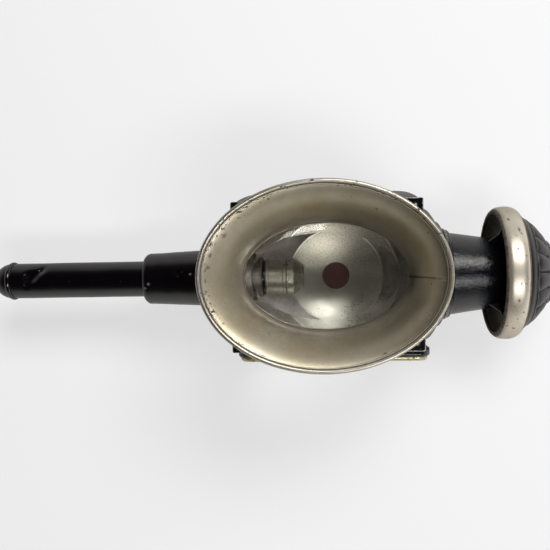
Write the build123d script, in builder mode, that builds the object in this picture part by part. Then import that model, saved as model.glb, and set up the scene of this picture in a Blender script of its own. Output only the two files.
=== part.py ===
from build123d import *
import os

# Candle-burning carriage lamp.  Millimetres, +Z up, hood towards -Y.
# Origin: centre of the cylindrical seat of the stem, where the vehicle's lamp bracket holds it.
# The stem, candle tube, neck and chimney cap share the Z axis.

os.makedirs("parts", exist_ok=True)

# ------------------------------------------------------------------ driving dimensions
BZ = 89.0                # body centre above the origin
SHEET = 1.2              # body sheet thickness

BODY_HW = 52.8           # half width of the body shell
BODY_YF = -58.5          # front edge of the shell
BODY_YB = 50.0           # back face of the shell
BODY_Z0 = BZ - 68.0      # shell, lower edge
BODY_Z1 = BZ + 65.6      # shell, upper edge
CORNER_R = 3.0

PLATE_HW = 54.0          # front plate
PLATE_Z0 = BZ - 69.5
PLATE_Z1 = BZ + 66.8
PLATE_T = 1.5

OPEN_A = 58.6            # oval front opening, semi-axis along Z
OPEN_B = 37.9            # and along X
OPEN_C = -2.1            # its centre, from the body centre

HOOD_T = 1.0             # hood sheet
# hood sections: distance in front of the axis, semi-axis Z, semi-axis X, centre
HOOD = [
    (60.0, 58.6, 37.9, -2.1),
    (70.0, 60.4, 39.8, -2.4),
    (80.0, 64.6, 44.1, -2.8),
    (90.0, 72.2, 51.8, -3.3),
    (99.0, 82.0, 61.8, -3.8),
]
RIM_R = 1.7              # wired rim of the hood
RIM_Y = 100.3

GLASS_A, GLASS_B = 61.6, 41.0     # front glass outline
BEVEL_W = 7.0
BEVEL_H = 2.6

REFL_C = 6.0             # reflector centre above the body centre
REFL_R = 39.0
REFL_HOLE_R = 11.5
REFL_YR = 27.5           # plane of its rim
REFL_YB = 34.8           # plane of its floor

SEAT_R = 23.0            # stem seat that the lamp bracket grips
SEAT_L = 22.0
STEM_TOP = BZ - 69.2
STEM_Z_TAPER0 = BZ - 141.0
STEM_Z_END = BZ - 147.0
STEM_R2 = 21.4           # necked length between the seat and the flange
STEM_R1 = 22.1
STEM_R0 = 20.2
BORE_R = 15.0            # guide bore for the candle tube

TUBE_R = 14.2
TUBE_T = 1.0
TUBE_Z0 = BZ - 255.0
TUBE_Z1 = BZ - 50.0

NECK_R0 = 32.9           # neck at its base
NECK_Z0 = BZ + 87.2
NECK_Z1 = BZ + 135.5
NECK_SLOPE = 0.1525

CAP_Z0 = BZ + 126.2      # mouth of the cap band
CAP_ZM = BZ + 136.4      # widest place
CAP_Z1 = BZ + 144.5      # band to dome
CAP_R0, CAP_RM, CAP_R1 = 48.3, 51.2, 44.7

DOOR_X0, DOOR_X1 = 53.1, 59.0     # door frame thickness
DOOR_Y0, DOOR_Y1 = -50.0, 42.0
DOOR_Z0, DOOR_Z1 = BZ - 67.5, BZ + 72.0
WIN_Y0, WIN_Y1 = -32.0, 28.0
WIN_Z0, WIN_Z1 = BZ - 52.0, BZ + 57.0
HINGE_X, HINGE_Y = 57.0, 45.5
PIN_R = 1.2
KNUCKLE_R = 2.6
HINGES = (BZ - 42.0, BZ + 46.0)
CATCH_Y, CATCH_Z = -39.6, BZ + 3.0
SPINDLE_R = 1.5


def neck_r(z):
    """Outside radius of the neck at height z."""
    return NECK_R0 - NECK_SLOPE * (z - NECK_Z0)


# ------------------------------------------------------------------ body
body_yc = (BODY_YF + BODY_YB) / 2
body_d = BODY_YB - BODY_YF

# folded sheet: back and two sides, with the door opening, the catch slot and the lens hole
with BuildPart() as body_shell:
    with BuildSketch(Plane.XY.offset(BODY_Z0)):
        with Locations((0, body_yc)):
            Rectangle(2 * BODY_HW, body_d)
        fillet(vertices().group_by(Axis.Y)[-1], CORNER_R)
    extrude(amount=BODY_Z1 - BODY_Z0)
    with BuildSketch(Plane.XY.offset(BODY_Z0)):
        with Locations((0, body_yc - SHEET)):
            Rectangle(2 * (BODY_HW - SHEET), body_d)
        fillet(vertices().group_by(Axis.Y)[-1], CORNER_R - SHEET)
    extrude(amount=BODY_Z1 - BODY_Z0, mode=Mode.SUBTRACT)
    with BuildSketch(Plane.YZ.offset(BODY_HW - 5)):
        with Locations(((WIN_Y0 + WIN_Y1) / 2, (WIN_Z0 + WIN_Z1) / 2)):
            RectangleRounded(WIN_Y1 - WIN_Y0 + 2, WIN_Z1 - WIN_Z0 + 2, 7)
        with Locations((CATCH_Y, CATCH_Z)):
            RectangleRounded(4.2, 14.0, 1.0)
    extrude(amount=10, mode=Mode.SUBTRACT)
    with BuildSketch(Plane.XZ.offset(-(BODY_YB - 5))):
        with Locations((0, BZ + REFL_C)):
            Circle(REFL_HOLE_R + 0.1)
    extrude(amount=-10, mode=Mode.SUBTRACT)

# floor plate with the stem hole and a ring of air holes
with BuildPart() as floor_plate:
    with BuildSketch(Plane.XY.offset(BODY_Z0 - SHEET)):
        with Locations((0, body_yc)):
            Rectangle(2 * BODY_HW, body_d)
        fillet(vertices().group_by(Axis.Y)[-1], CORNER_R)
        Circle(BORE_R + 1.1, mode=Mode.SUBTRACT)
        with PolarLocations(41.0, 8, start_angle=22.5):
            Circle(2.2, mode=Mode.SUBTRACT)
    extrude(amount=SHEET)

# top plate, open below the chimney
with BuildPart() as top_plate:
    with BuildSketch(Plane.XY.offset(BODY_Z1)):
        with Locations((0, body_yc)):
            Rectangle(2 * BODY_HW, body_d)
        fillet(vertices().group_by(Axis.Y)[-1], CORNER_R)
        Circle(42.0, mode=Mode.SUBTRACT)
    extrude(amount=SHEET)

# front plate with the oval opening
with BuildPart() as front_plate:
    with BuildSketch(Plane.XZ.offset(-BODY_YF)):
        with Locations((0, (PLATE_Z0 + PLATE_Z1) / 2)):
            RectangleRounded(2 * PLATE_HW, PLATE_Z1 - PLATE_Z0, 1.5)
        with Locations((0, BZ + OPEN_C)):
            Ellipse(OPEN_B, OPEN_A, mode=Mode.SUBTRACT)
    extrude(amount=PLATE_T)

# bowed blank panel on the -X side: a pressed pillow with a hollow back
with BuildPart() as panel_inner:
    with BuildSketch(Plane.XY.offset(BODY_Z0)):
        with BuildLine():
            ThreePointArc((-BODY_HW, -55.5), (-62.8, -6.0), (-BODY_HW, 45.0))
            Line((-BODY_HW, 45.0), (-BODY_HW, -55.5))
        make_face()
    extrude(amount=BODY_Z1 - BODY_Z0)
    with BuildSketch(Plane.XZ.offset(70)):
        with BuildLine():
            Spline(
                (-BODY_HW, BZ - 65.0), (-58.2, BZ - 61.2), (-61.4, BZ - 52.0), (-62.8, BZ - 25.0),
                (-63.0, BZ + 3.0), (-62.8, BZ + 32.0), (-61.6, BZ + 51.5), (-58.4, BZ + 60.0), (-BODY_HW, BZ + 63.5),
            )
            Line((-BODY_HW, BZ + 63.5), (-BODY_HW, BZ - 65.0))
        make_face()
    extrude(amount=-140, mode=Mode.INTERSECT)

with BuildPart() as side_panel:
    with BuildSketch(Plane.XY.offset(BODY_Z0)):
        with BuildLine():
            ThreePointArc((-BODY_HW, -57.8), (-64.0, -6.0), (-BODY_HW, 47.0))
            Line((-BODY_HW, 47.0), (-BODY_HW, -57.8))
        make_face()
    extrude(amount=BODY_Z1 - BODY_Z0)
    with BuildSketch(Plane.XZ.offset(70)):
        with BuildLine():
            Spline(
                (-BODY_HW, BZ - 67.0), (-59.2, BZ - 62.6), (-62.5, BZ - 53.0), (-64.0, BZ - 25.0),
                (-64.2, BZ + 3.0), (-64.0, BZ + 32.0), (-62.8, BZ + 52.5), (-59.4, BZ + 61.4), (-BODY_HW, BZ + 65.2),
            )
            Line((-BODY_HW, BZ + 65.2), (-BODY_HW, BZ - 67.0))
        make_face()
    extrude(amount=-140, mode=Mode.INTERSECT)
    add(panel_inner.part, mode=Mode.SUBTRACT)

# ------------------------------------------------------------------ hood and front glass
with BuildPart() as hood_bell:
    for d, a, b, c in HOOD:
        with BuildSketch(Plane.XZ.offset(d)):
            with Locations((0, BZ + c)):
                Ellipse(b + HOOD_T, a + HOOD_T)
    loft()
    for d, a, b, c in HOOD:
        with BuildSketch(Plane.XZ.offset(d)):
            with Locations((0, BZ + c)):
                Ellipse(b, a)
    loft(mode=Mode.SUBTRACT)

# rolled wired rim: a round bead on the edge of the bell
rim_a = HOOD[-1][1] + HOOD_T / 2
rim_b = HOOD[-1][2] + HOOD_T / 2
rim_c = BZ + HOOD[-1][3]
with BuildPart() as hood_rim:
    with BuildLine(Plane.XZ.offset(RIM_Y)) as rim_path:
        EllipticalCenterArc((0, rim_c), rim_b, rim_a, start_angle=0, arc_size=360)
    with BuildSketch(Plane(origin=(rim_b, -RIM_Y, rim_c), x_dir=(1, 0, 0), z_dir=(0, 0, 1))):
        Circle(RIM_R)
    sweep(path=rim_path.wires()[0])
    with BuildSketch(Plane.XZ.offset(HOOD[-1][0])):
        with Locations((0, rim_c)):
            Rectangle(300, 300)
    extrude(amount=-10, mode=Mode.SUBTRACT)

# flat flange ring that ties the hood's root to the plate
with BuildPart() as hood_flange:
    with BuildSketch(Plane.XZ.offset(60.0)):
        with Locations((0, BZ + OPEN_C)):
            Ellipse(OPEN_B + 5.4, OPEN_A + 5.4)
            Ellipse(OPEN_B + 1.5, OPEN_A + 1.5, mode=Mode.SUBTRACT)
    extrude(amount=1.0)

# bevelled oval glass behind the plate; its raised centre stands in the opening
with BuildPart() as front_glass:
    with BuildSketch(Plane.XZ.offset(55.5)):
        with Locations((0, BZ + OPEN_C)):
            Ellipse(GLASS_B, GLASS_A)
    extrude(amount=3.0)
    with BuildSketch(Plane.XZ.offset(58.5)):
        with Locations((0, BZ + OPEN_C)):
            Ellipse(OPEN_B - 0.3, OPEN_A - 0.3)
    with BuildSketch(Plane.XZ.offset(58.5 + BEVEL_H)):
        with Locations((0, BZ + OPEN_C)):
            Ellipse(OPEN_B - 0.3 - BEVEL_W, OPEN_A - 0.3 - BEVEL_W)
    loft()

# retaining ring behind the glass, with four tabs
with BuildPart() as glass_retainer:
    with BuildSketch(Plane.XZ.offset(53.9)):
        with Locations((0, BZ + OPEN_C)):
            Ellipse(GLASS_B + 0.6, GLASS_A + 0.6)
            Ellipse(OPEN_B - 0.2, OPEN_A - 0.2, mode=Mode.SUBTRACT)
    extrude(amount=1.6)
    with BuildSketch(Plane.XZ.offset(53.9)):
        with Locations((45.0, BZ + OPEN_C - 20), (45.0, BZ + OPEN_C + 20), (-45.0, BZ + OPEN_C - 20), (-45.0, BZ + OPEN_C + 20)):
            Rectangle(13.2, 10)
        with Locations((0, BZ + OPEN_C)):
            Ellipse(GLASS_B - 1.0, GLASS_A - 1.0, mode=Mode.SUBTRACT)
    extrude(amount=1.0)

# ------------------------------------------------------------------ reflector and ruby rear lens
refl_z = BZ + REFL_C
with BuildPart() as reflector:
    with BuildSketch(Plane.XY.offset(refl_z)):
        with BuildLine():
            ThreePointArc((REFL_HOLE_R, REFL_YB), (26.0, REFL_YB - 2.93), (REFL_R - 0.8, REFL_YR))
            Line((REFL_R - 0.8, REFL_YR), (REFL_R, REFL_YR))
            ThreePointArc((REFL_R, REFL_YR), (26.4, REFL_YB - 2.05), (REFL_HOLE_R, REFL_YB + 0.9))
            Line((REFL_HOLE_R, REFL_YB + 0.9), (REFL_HOLE_R, REFL_YB))
        make_face()
    revolve(axis=Axis((0, 0, refl_z), (0, 1, 0)))

# rolled edge of the reflector
with BuildPart() as reflector_rim:
    with BuildSketch(Plane.XY.offset(refl_z)):
        with BuildLine():
            Polyline(
                (REFL_R - 1.0, REFL_YR), (REFL_R - 0.6, REFL_YR - 0.9), (REFL_R + 0.2, REFL_YR - 0.9),
                (REFL_R + 0.7, REFL_YR - 0.2), (REFL_R + 0.7, REFL_YR), close=True,
            )
        make_face()
    revolve(axis=Axis((0, 0, refl_z), (0, 1, 0)))

# short tube that carries the reflector off the back wall and lets its light through
with BuildPart() as lens_tube:
    with BuildSketch(Plane.XY.offset(refl_z)):
        with BuildLine():
            Polyline(
                (REFL_HOLE_R + 0.1, REFL_YB + 0.9), (REFL_HOLE_R + 1.2, REFL_YB + 0.9),
                (REFL_HOLE_R + 1.2, BODY_YB - SHEET - 0.8), (REFL_HOLE_R + 5.0, BODY_YB - SHEET - 0.8),
                (REFL_HOLE_R + 5.0, BODY_YB - SHEET), (REFL_HOLE_R + 0.1, BODY_YB - SHEET), close=True,
            )
        make_face()
    revolve(axis=Axis((0, 0, refl_z), (0, 1, 0)))

with BuildPart() as rear_lens:
    with BuildSketch(Plane.XY.offset(refl_z)):
        with BuildLine():
            Polyline((0, BODY_YB), (13.4, BODY_YB), (13.4, BODY_YB + 1.6))
            ThreePointArc((13.4, BODY_YB + 1.6), (7.6, BODY_YB + 3.3), (1.5, BODY_YB + 3.9))
            Polyline((1.5, BODY_YB + 3.9), (0, BODY_YB + 3.9), (0, BODY_YB))
        make_face()
    revolve(axis=Axis((0, 0, refl_z), (0, 1, 0)))

with BuildPart() as rear_bezel:
    with BuildSketch(Plane.XY.offset(refl_z)):
        with BuildLine():
            Polyline(
                (13.5, BODY_YB), (20.0, BODY_YB), (20.0, BODY_YB + 0.9), (17.2, BODY_YB + 0.9),
                (16.4, BODY_YB + 3.0), (14.2, BODY_YB + 3.6), (12.2, BODY_YB + 3.3), (12.2, BODY_YB + 2.4),
                (13.5, BODY_YB + 1.75), close=True,
            )
        make_face()
    revolve(axis=Axis((0, 0, refl_z), (0, 1, 0)))

# ------------------------------------------------------------------ crown, neck and chimney cap
with BuildPart() as crown:
    with BuildSketch(Plane.XZ):
        with BuildLine():
            Line((51.2, BZ + 66.8), (52.3, BZ + 66.8))
            Line((52.3, BZ + 66.8), (52.3, BZ + 71.5))
            Spline(
                (52.3, BZ + 71.5), (50.2, BZ + 75.4), (47.2, BZ + 78.6), (42.4, BZ + 81.8), (38.0, BZ + 84.7),
                (34.6, BZ + 87.2), tangents=[(0, 1), (-1, 1)],
            )
            Line((34.6, BZ + 87.2), (31.8, BZ + 87.2))
            Line((31.8, BZ + 87.2), (31.8, BZ + 86.1))
            Line((31.8, BZ + 86.1), (34.2, BZ + 86.1))
            Spline(
                (34.2, BZ + 86.1), (37.3, BZ + 83.8), (41.7, BZ + 80.9), (46.3, BZ + 77.8), (49.2, BZ + 74.9),
                (51.2, BZ + 71.4), tangents=[(1, -1), (0, -1)],
            )
            Line((51.2, BZ + 71.4), (51.2, BZ + 66.8))
        make_face()
    revolve(axis=Axis.Z)

with BuildPart() as neck:
    with BuildSketch(Plane.XZ):
        with BuildLine():
            Polyline(
                (NECK_R0 - 1.1, NECK_Z0), (NECK_R0, NECK_Z0), (neck_r(NECK_Z1), NECK_Z1),
                (neck_r(NECK_Z1) - 1.1, NECK_Z1), close=True,
            )
        make_face()
    revolve(axis=Axis.Z)

with BuildPart() as neck_collar:
    with BuildSketch(Plane.XZ):
        with BuildLine():
            Polyline(
                (NECK_R0, NECK_Z0), (35.0, NECK_Z0), (35.4, NECK_Z0 + 1.4), (35.0, NECK_Z0 + 3.2),
                (34.0, NECK_Z0 + 4.6), (neck_r(NECK_Z0 + 5.0), NECK_Z0 + 5.0), close=True,
            )
        make_face()
    revolve(axis=Axis.Z)

with BuildPart() as cap_band:
    with BuildSketch(Plane.XZ):
        with BuildLine():
            Spline(
                (CAP_R0, CAP_Z0), (50.2, CAP_Z0 + 2.4), (51.1, CAP_Z0 + 6.4), (CAP_RM, CAP_ZM), (50.2, CAP_Z0 + 14.2),
                (47.9, CAP_Z0 + 17.0), (CAP_R1, CAP_Z1),
            )
            Line((CAP_R1, CAP_Z1), (CAP_R1 - 1.3, CAP_Z1 - 0.9))
            Spline(
                (CAP_R1 - 1.3, CAP_Z1 - 0.9), (46.9, CAP_Z0 + 16.0), (49.0, CAP_Z0 + 13.5), (50.0, CAP_Z0 + 10.2),
                (49.9, CAP_Z0 + 6.5), (49.1, CAP_Z0 + 3.2), (CAP_R0 - 0.6, CAP_Z0 + 1.3),
            )
            Line((CAP_R0 - 0.6, CAP_Z0 + 1.3), (CAP_R0 - 2.4, CAP_Z0 + 1.0))
            Line((CAP_R0 - 2.4, CAP_Z0 + 1.0), (CAP_R0 - 2.4, CAP_Z0))
            Line((CAP_R0 - 2.4, CAP_Z0), (CAP_R0, CAP_Z0))
        make_face()
    revolve(axis=Axis.Z)

with BuildPart() as cap_tier:
    with BuildSketch(Plane.XZ):
        with BuildLine():
            Polyline(
                (CAP_R1, CAP_Z1), (42.6, CAP_Z1 + 3.0), (40.6, CAP_Z1 + 6.0), (39.4, CAP_Z1 + 6.0),
                (41.5, CAP_Z1 + 2.4), (CAP_R1 - 1.3, CAP_Z1 - 0.9), close=True,
            )
        make_face()
    revolve(axis=Axis.Z)

with BuildPart() as cap_dome:
    with BuildSketch(Plane.XZ):
        with BuildLine():
            Line((3.0, BZ + 178.4), (5.6, BZ + 178.4))
            Spline(
                (5.6, BZ + 178.4), (10.0, BZ + 175.4), (16.8, BZ + 170.8), (26.5, BZ + 163.8), (35.4, BZ + 156.6),
                (40.2, BZ + 150.5),
            )
            Line((40.2, BZ + 150.5), (38.8, BZ + 150.5))
            Spline(
                (38.8, BZ + 150.5), (34.4, BZ + 156.0), (25.6, BZ + 163.0), (16.0, BZ + 169.8), (9.6, BZ + 174.2),
                (5.2, BZ + 177.2),
            )
            Line((5.2, BZ + 177.2), (3.0, BZ + 177.2))
            Line((3.0, BZ + 177.2), (3.0, BZ + 178.4))
        make_face()
    revolve(axis=Axis.Z)

with BuildPart() as cap_button:
    with BuildSketch(Plane.XZ):
        with BuildLine():
            Polyline((0, BZ + 175.6), (4.6, BZ + 175.6), (4.6, BZ + 177.2), (3.0, BZ + 177.2), (3.0, BZ + 178.4),
                     (5.2, BZ + 178.4), (5.2, BZ + 179.4))
            ThreePointArc((5.2, BZ + 179.4), (5.0, BZ + 183.0), (2.0, BZ + 185.2))
            Polyline((2.0, BZ + 185.2), (0, BZ + 185.2), (0, BZ + 175.6))
        make_face()
    revolve(axis=Axis.Z)

# three radial struts that carry the cap and the wind baffle on the neck
with BuildPart() as cap_struts:
    for turn in (90, 210, 330):
        with BuildSketch(Plane(origin=(0, 0, 0), x_dir=Vector(1, 0, 0).rotate(Axis.Z, turn), z_dir=Vector(0, -1, 0).rotate(Axis.Z, turn))):
            with BuildLine():
                Polyline(
                    (neck_r(BZ + 121.0), BZ + 121.0), (neck_r(NECK_Z1), NECK_Z1), (neck_r(NECK_Z1), BZ + 146.4),
                    (38.0, BZ + 146.4), (42.6, BZ + 143.2), (46.8, BZ + 141.8), (49.3, BZ + 138.6), (49.8, BZ + 133.4),
                    (45.4, BZ + 131.2), (34.0, BZ + 128.6), close=True,
                )
            make_face()
        extrude(amount=0.6, both=True)

with BuildPart() as wind_baffle:
    with BuildSketch(Plane.XZ):
        with BuildLine():
            Polyline((0, BZ + 146.4), (37.0, BZ + 146.4), (37.4, BZ + 147.4), (26.0, BZ + 148.2), (0, BZ + 152.0), close=True)
        make_face()
    revolve(axis=Axis.Z)

# ------------------------------------------------------------------ stem and guide
with BuildPart() as stem:
    with BuildSketch(Plane.XZ):
        with BuildLine():
            Polyline(
                (STEM_R2 - 1.4, STEM_TOP), (STEM_R2, STEM_TOP), (STEM_R2, SEAT_L / 2 + 1.0), (SEAT_R, SEAT_L / 2),
                (SEAT_R, -SEAT_L / 2), (STEM_R1, -SEAT_L / 2 - 1.0), (STEM_R0, STEM_Z_TAPER0),
            )
            ThreePointArc((STEM_R0, STEM_Z_TAPER0), (19.0, STEM_Z_TAPER0 - 4.4), (15.9, STEM_Z_END))
            Polyline(
                (15.9, STEM_Z_END), (BORE_R, STEM_Z_END), (BORE_R, STEM_Z_END + 2.0), (17.4, STEM_Z_END + 3.4),
                (STEM_R0 - 1.5, STEM_Z_TAPER0 + 1.0), (STEM_R1 - 1.4, -SEAT_L / 2 - 1.0), (SEAT_R - 1.4, -SEAT_L / 2 + 1.0),
                (SEAT_R - 1.4, SEAT_L / 2 - 2.0), (STEM_R2 - 1.4, SEAT_L / 2), (STEM_R2 - 1.4, STEM_TOP),
            )
        make_face()
    revolve(axis=Axis.Z)

with BuildPart() as stem_flange:
    with BuildSketch(Plane.XZ):
        with BuildLine():
            Polyline(
                (STEM_R2, STEM_TOP), (34.0, STEM_TOP), (34.0, STEM_TOP - 1.6), (27.6, STEM_TOP - 1.6),
                (25.0, STEM_TOP - 3.4), (23.4, STEM_TOP - 6.0), (STEM_R2, STEM_TOP - 7.0), close=True,
            )
        make_face()
    revolve(axis=Axis.Z)
    with BuildSketch(Plane.XY.offset(STEM_TOP)):
        with PolarLocations(31.0, 4, start_angle=45):
            Circle(1.5)
    extrude(amount=-5, mode=Mode.SUBTRACT)

# rivets that hold the flange to the floor plate: heads below, in the flange's holes
with BuildPart() as flange_rivets:
    with BuildSketch(Plane.XY.offset(STEM_TOP)):
        with PolarLocations(31.0, 4, start_angle=45):
            Circle(1.5)
    extrude(amount=-1.6)
    with BuildSketch(Plane.XY.offset(STEM_TOP - 1.6)):
        with PolarLocations(31.0, 4, start_angle=45):
            Circle(2.4)
    extrude(amount=-1.3)
    fillet(faces().group_by(Axis.Z)[0].edges(), 0.9)

with BuildPart() as guide_sleeve:
    with BuildSketch(Plane.XZ):
        with BuildLine():
            Polyline(
                (BORE_R, BZ - 112.0), (BORE_R + 1.1, BZ - 112.0), (BORE_R + 1.1, BODY_Z0), (BORE_R + 3.6, BODY_Z0),
                (BORE_R + 3.6, BODY_Z0 + 1.0), (BORE_R + 1.1, BODY_Z0 + 1.6), (BORE_R + 1.1, BZ - 53.0),
                (BORE_R, BZ - 52.0), close=True,
            )
        make_face()
    revolve(axis=Axis.Z)

# ------------------------------------------------------------------ candle tube assembly
with BuildPart() as candle_tube:
    with BuildSketch(Plane.XZ):
        with BuildLine():
            Polyline(
                (TUBE_R - TUBE_T, TUBE_Z0), (TUBE_R, TUBE_Z0), (TUBE_R, TUBE_Z1), (TUBE_R - TUBE_T, TUBE_Z1), close=True,
            )
        make_face()
    revolve(axis=Axis.Z)

with BuildPart() as nozzle_collar:
    with BuildSketch(Plane.XZ):
        with BuildLine():
            Polyline(
                (12.2, BZ - 57.0), (13.2, BZ - 57.0), (13.2, TUBE_Z1), (13.9, TUBE_Z1), (13.9, BZ - 33.4),
                (12.9, BZ - 33.4), (12.9, BZ - 28.6), (12.2, BZ - 28.6), close=True,
            )
        make_face()
    revolve(axis=Axis.Z)

# two bayonet pins on the collar's spigot
with BuildPart() as bayonet_pins:
    with BuildSketch(Plane.YZ.offset(12.9)):
        with Locations((0, BZ - 31.0)):
            Circle(0.7)
    extrude(amount=0.7)
    with BuildSketch(Plane.YZ.offset(-12.9)):
        with Locations((0, BZ - 31.0)):
            Circle(0.7)
    extrude(amount=-0.7)

with BuildPart() as nozzle_cap:
    with BuildSketch(Plane.XZ):
        with BuildLine():
            Polyline(
                (13.2, BZ - 33.2), (14.6, BZ - 33.2), (14.7, BZ - 32.6), (14.7, BZ - 28.0), (9.4, BZ - 20.4),
                (8.9, BZ - 20.0), (8.4, BZ - 20.3), (8.4, BZ - 21.2), (12.6, BZ - 27.4), (12.6, BZ - 28.2),
                (13.2, BZ - 28.3), (13.2, BZ - 30.0), (13.9, BZ - 30.0), (13.9, BZ - 32.0), (13.2, BZ - 32.0), close=True,
            )
        make_face()
    revolve(axis=Axis.Z)

# follower that carries the candle's foot, at the top of its travel
with BuildPart() as candle_follower:
    with BuildSketch(Plane.XZ):
        with BuildLine():
            Polyline(
                (0, BZ - 47.0), (11.8, BZ - 47.0), (11.8, BZ - 46.0), (11.8, BZ - 60.0), (10.6, BZ - 60.0), (10.6, BZ - 48.4),
                (0, BZ - 48.4), close=False,
            )
            Line((0, BZ - 48.4), (0, BZ - 47.0))
        make_face()
    revolve(axis=Axis.Z)

with BuildPart() as candle_spring:
    with BuildLine() as spring_path:
        Helix(pitch=15.0, height=193.0, radius=9.4, center=(0, 0, BZ - 243.2))
    with BuildSketch(Plane(origin=spring_path.line @ 0, z_dir=spring_path.line % 0)):
        Circle(0.7)
    sweep(is_frenet=True)

# end cap of the tube: plug inside the tube, bead outside, blunt nose
with BuildPart() as tube_end_cap:
    with BuildSketch(Plane.XZ):
        with BuildLine():
            Polyline(
                (0, BZ - 245.0), (12.9, BZ - 245.0), (12.9, BZ - 255.3), (14.6, BZ - 255.3),
            )
            ThreePointArc((14.6, BZ - 255.3), (15.35, BZ - 257.0), (14.6, BZ - 258.8))
            ThreePointArc((14.6, BZ - 258.8), (12.2, BZ - 265.2), (7.4, BZ - 270.4))
            ThreePointArc((7.4, BZ - 270.4), (4.8, BZ - 272.1), (2.0, BZ - 272.8))
            Polyline((2.0, BZ - 272.8), (0, BZ - 272.8), (0, BZ - 271.6), (1.8, BZ - 271.6))
            ThreePointArc((1.8, BZ - 271.6), (4.2, BZ - 271.0), (6.6, BZ - 269.4))
            ThreePointArc((6.6, BZ - 269.4), (11.1, BZ - 264.5), (13.4, BZ - 258.4))
            Polyline((13.4, BZ - 258.4), (13.4, BZ - 256.6), (11.8, BZ - 255.6), (11.8, BZ - 246.2), (0, BZ - 246.2), (0, BZ - 245.0))
        make_face()
    revolve(axis=Axis.Z)

# ------------------------------------------------------------------ side door
door_yc, door_zc = (DOOR_Y0 + DOOR_Y1) / 2, (DOOR_Z0 + DOOR_Z1) / 2
door_w, door_h = DOOR_Y1 - DOOR_Y0, DOOR_Z1 - DOOR_Z0
win_yc, win_zc = (WIN_Y0 + WIN_Y1) / 2, (WIN_Z0 + WIN_Z1) / 2
win_w, win_h = WIN_Y1 - WIN_Y0, WIN_Z1 - WIN_Z0

with BuildPart() as door_frame:
    with BuildSketch(Plane.YZ.offset(DOOR_X0)):
        with Locations((door_yc, door_zc)):
            RectangleRounded(door_w, door_h, 10)
    extrude(amount=DOOR_X1 - DOOR_X0)
    fillet(faces().sort_by(Axis.X)[-1].edges(), 1.6)
    with BuildSketch(Plane.YZ.offset(DOOR_X0)):
        with Locations((win_yc, win_zc)):
            RectangleRounded(win_w, win_h, 6)
        with Locations((CATCH_Y, CATCH_Z)):
            Circle(SPINDLE_R + 0.06)
    extrude(amount=20, mode=Mode.SUBTRACT)
    with BuildSketch(Plane.YZ.offset(DOOR_X0)):
        with Locations((win_yc, win_zc)):
            RectangleRounded(win_w + 6, win_h + 6, 8)
    extrude(amount=4.4, mode=Mode.SUBTRACT)

# half-round nickel bead round the door's outer face
with BuildPart() as door_bead:
    with BuildSketch(Plane.YZ.offset(DOOR_X1)):
        with Locations((door_yc, door_zc)):
            RectangleRounded(door_w - 3.2, door_h - 3.2, 8.4)
            RectangleRounded(door_w - 14.0, door_h - 14.0, 4.0, mode=Mode.SUBTRACT)
    extrude(amount=3.2)
    fillet(faces().sort_by(Axis.X)[-1].edges(), 2.2)

# thin nickel bezel at the window's edge
with BuildPart() as door_bezel:
    with BuildSketch(Plane.YZ.offset(DOOR_X1)):
        with Locations((win_yc, win_zc)):
            RectangleRounded(win_w + 5.0, win_h + 5.0, 8)
            RectangleRounded(win_w + 0.2, win_h + 0.2, 6, mode=Mode.SUBTRACT)
    extrude(amount=1.2)
    fillet(faces().sort_by(Axis.X)[-1].edges(), 0.5)

with BuildPart() as door_glass:
    with BuildSketch(Plane.YZ.offset(DOOR_X0 + 1.6)):
        with Locations((win_yc, win_zc)):
            RectangleRounded(win_w + 5.4, win_h + 5.4, 7.8)
    extrude(amount=2.8)
    with BuildSketch(Plane.YZ.offset(DOOR_X0 + 4.4)):
        with Locations((win_yc, win_zc)):
            RectangleRounded(win_w - 0.6, win_h - 0.6, 5.7)
    with BuildSketch(Plane.YZ.offset(DOOR_X0 + 6.2)):
        with Locations((win_yc, win_zc)):
            RectangleRounded(win_w - 13.0, win_h - 13.0, 1.5)
    loft()

with BuildPart() as door_glass_retainer:
    with BuildSketch(Plane.YZ.offset(DOOR_X0)):
        with Locations((win_yc, win_zc)):
            RectangleRounded(win_w + 5.4, win_h + 5.4, 7.8)
            RectangleRounded(win_w - 0.4, win_h - 0.4, 5.8, mode=Mode.SUBTRACT)
    extrude(amount=1.6)

# hinge: leaf and outer knuckles on the body
with BuildPart() as body_hinge:
    for zc in HINGES:
        with BuildSketch(Plane.XY.offset(zc - 12.0)):
            with Locations((BODY_HW + 0.6, HINGE_Y)):
                Rectangle(1.2, 4.6)
        extrude(amount=24.0)
        for z0 in (zc - 12.0, zc + 5.0):
            with BuildSketch(Plane.XY.offset(z0)):
                with Locations((HINGE_X, HINGE_Y)):
                    Circle(KNUCKLE_R)
                with Locations(((BODY_HW + HINGE_X) / 2, HINGE_Y)):
                    Rectangle(HINGE_X - BODY_HW, 3.6)
                with Locations((HINGE_X, HINGE_Y)):
                    Circle(PIN_R, mode=Mode.SUBTRACT)
            extrude(amount=7.0)

with BuildPart() as door_hinge_leaf:
    for zc in HINGES:
        with BuildSketch(Plane.XY.offset(zc - 4.7)):
            with Locations((HINGE_X, HINGE_Y)):
                Circle(KNUCKLE_R)
            with Locations((HINGE_X + 0.2, (DOOR_Y1 + HINGE_Y) / 2)):
                Rectangle(2.8, HINGE_Y - DOOR_Y1)
            with Locations((HINGE_X, HINGE_Y)):
                Circle(PIN_R + 0.06, mode=Mode.SUBTRACT)
        extrude(amount=9.4)

with BuildPart() as hinge_pin:
    with BuildSketch(Plane.XY.offset(HINGES[0] - 13.0)):
        with Locations((HINGE_X, HINGE_Y)):
            Circle(PIN_R)
    extrude(amount=HINGES[1] - HINGES[0] + 26.0)
    with Locations((HINGE_X, HINGE_Y, HINGES[0] - 13.8), (HINGE_X, HINGE_Y, HINGES[1] + 13.8)):
        Sphere(1.75)

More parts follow.
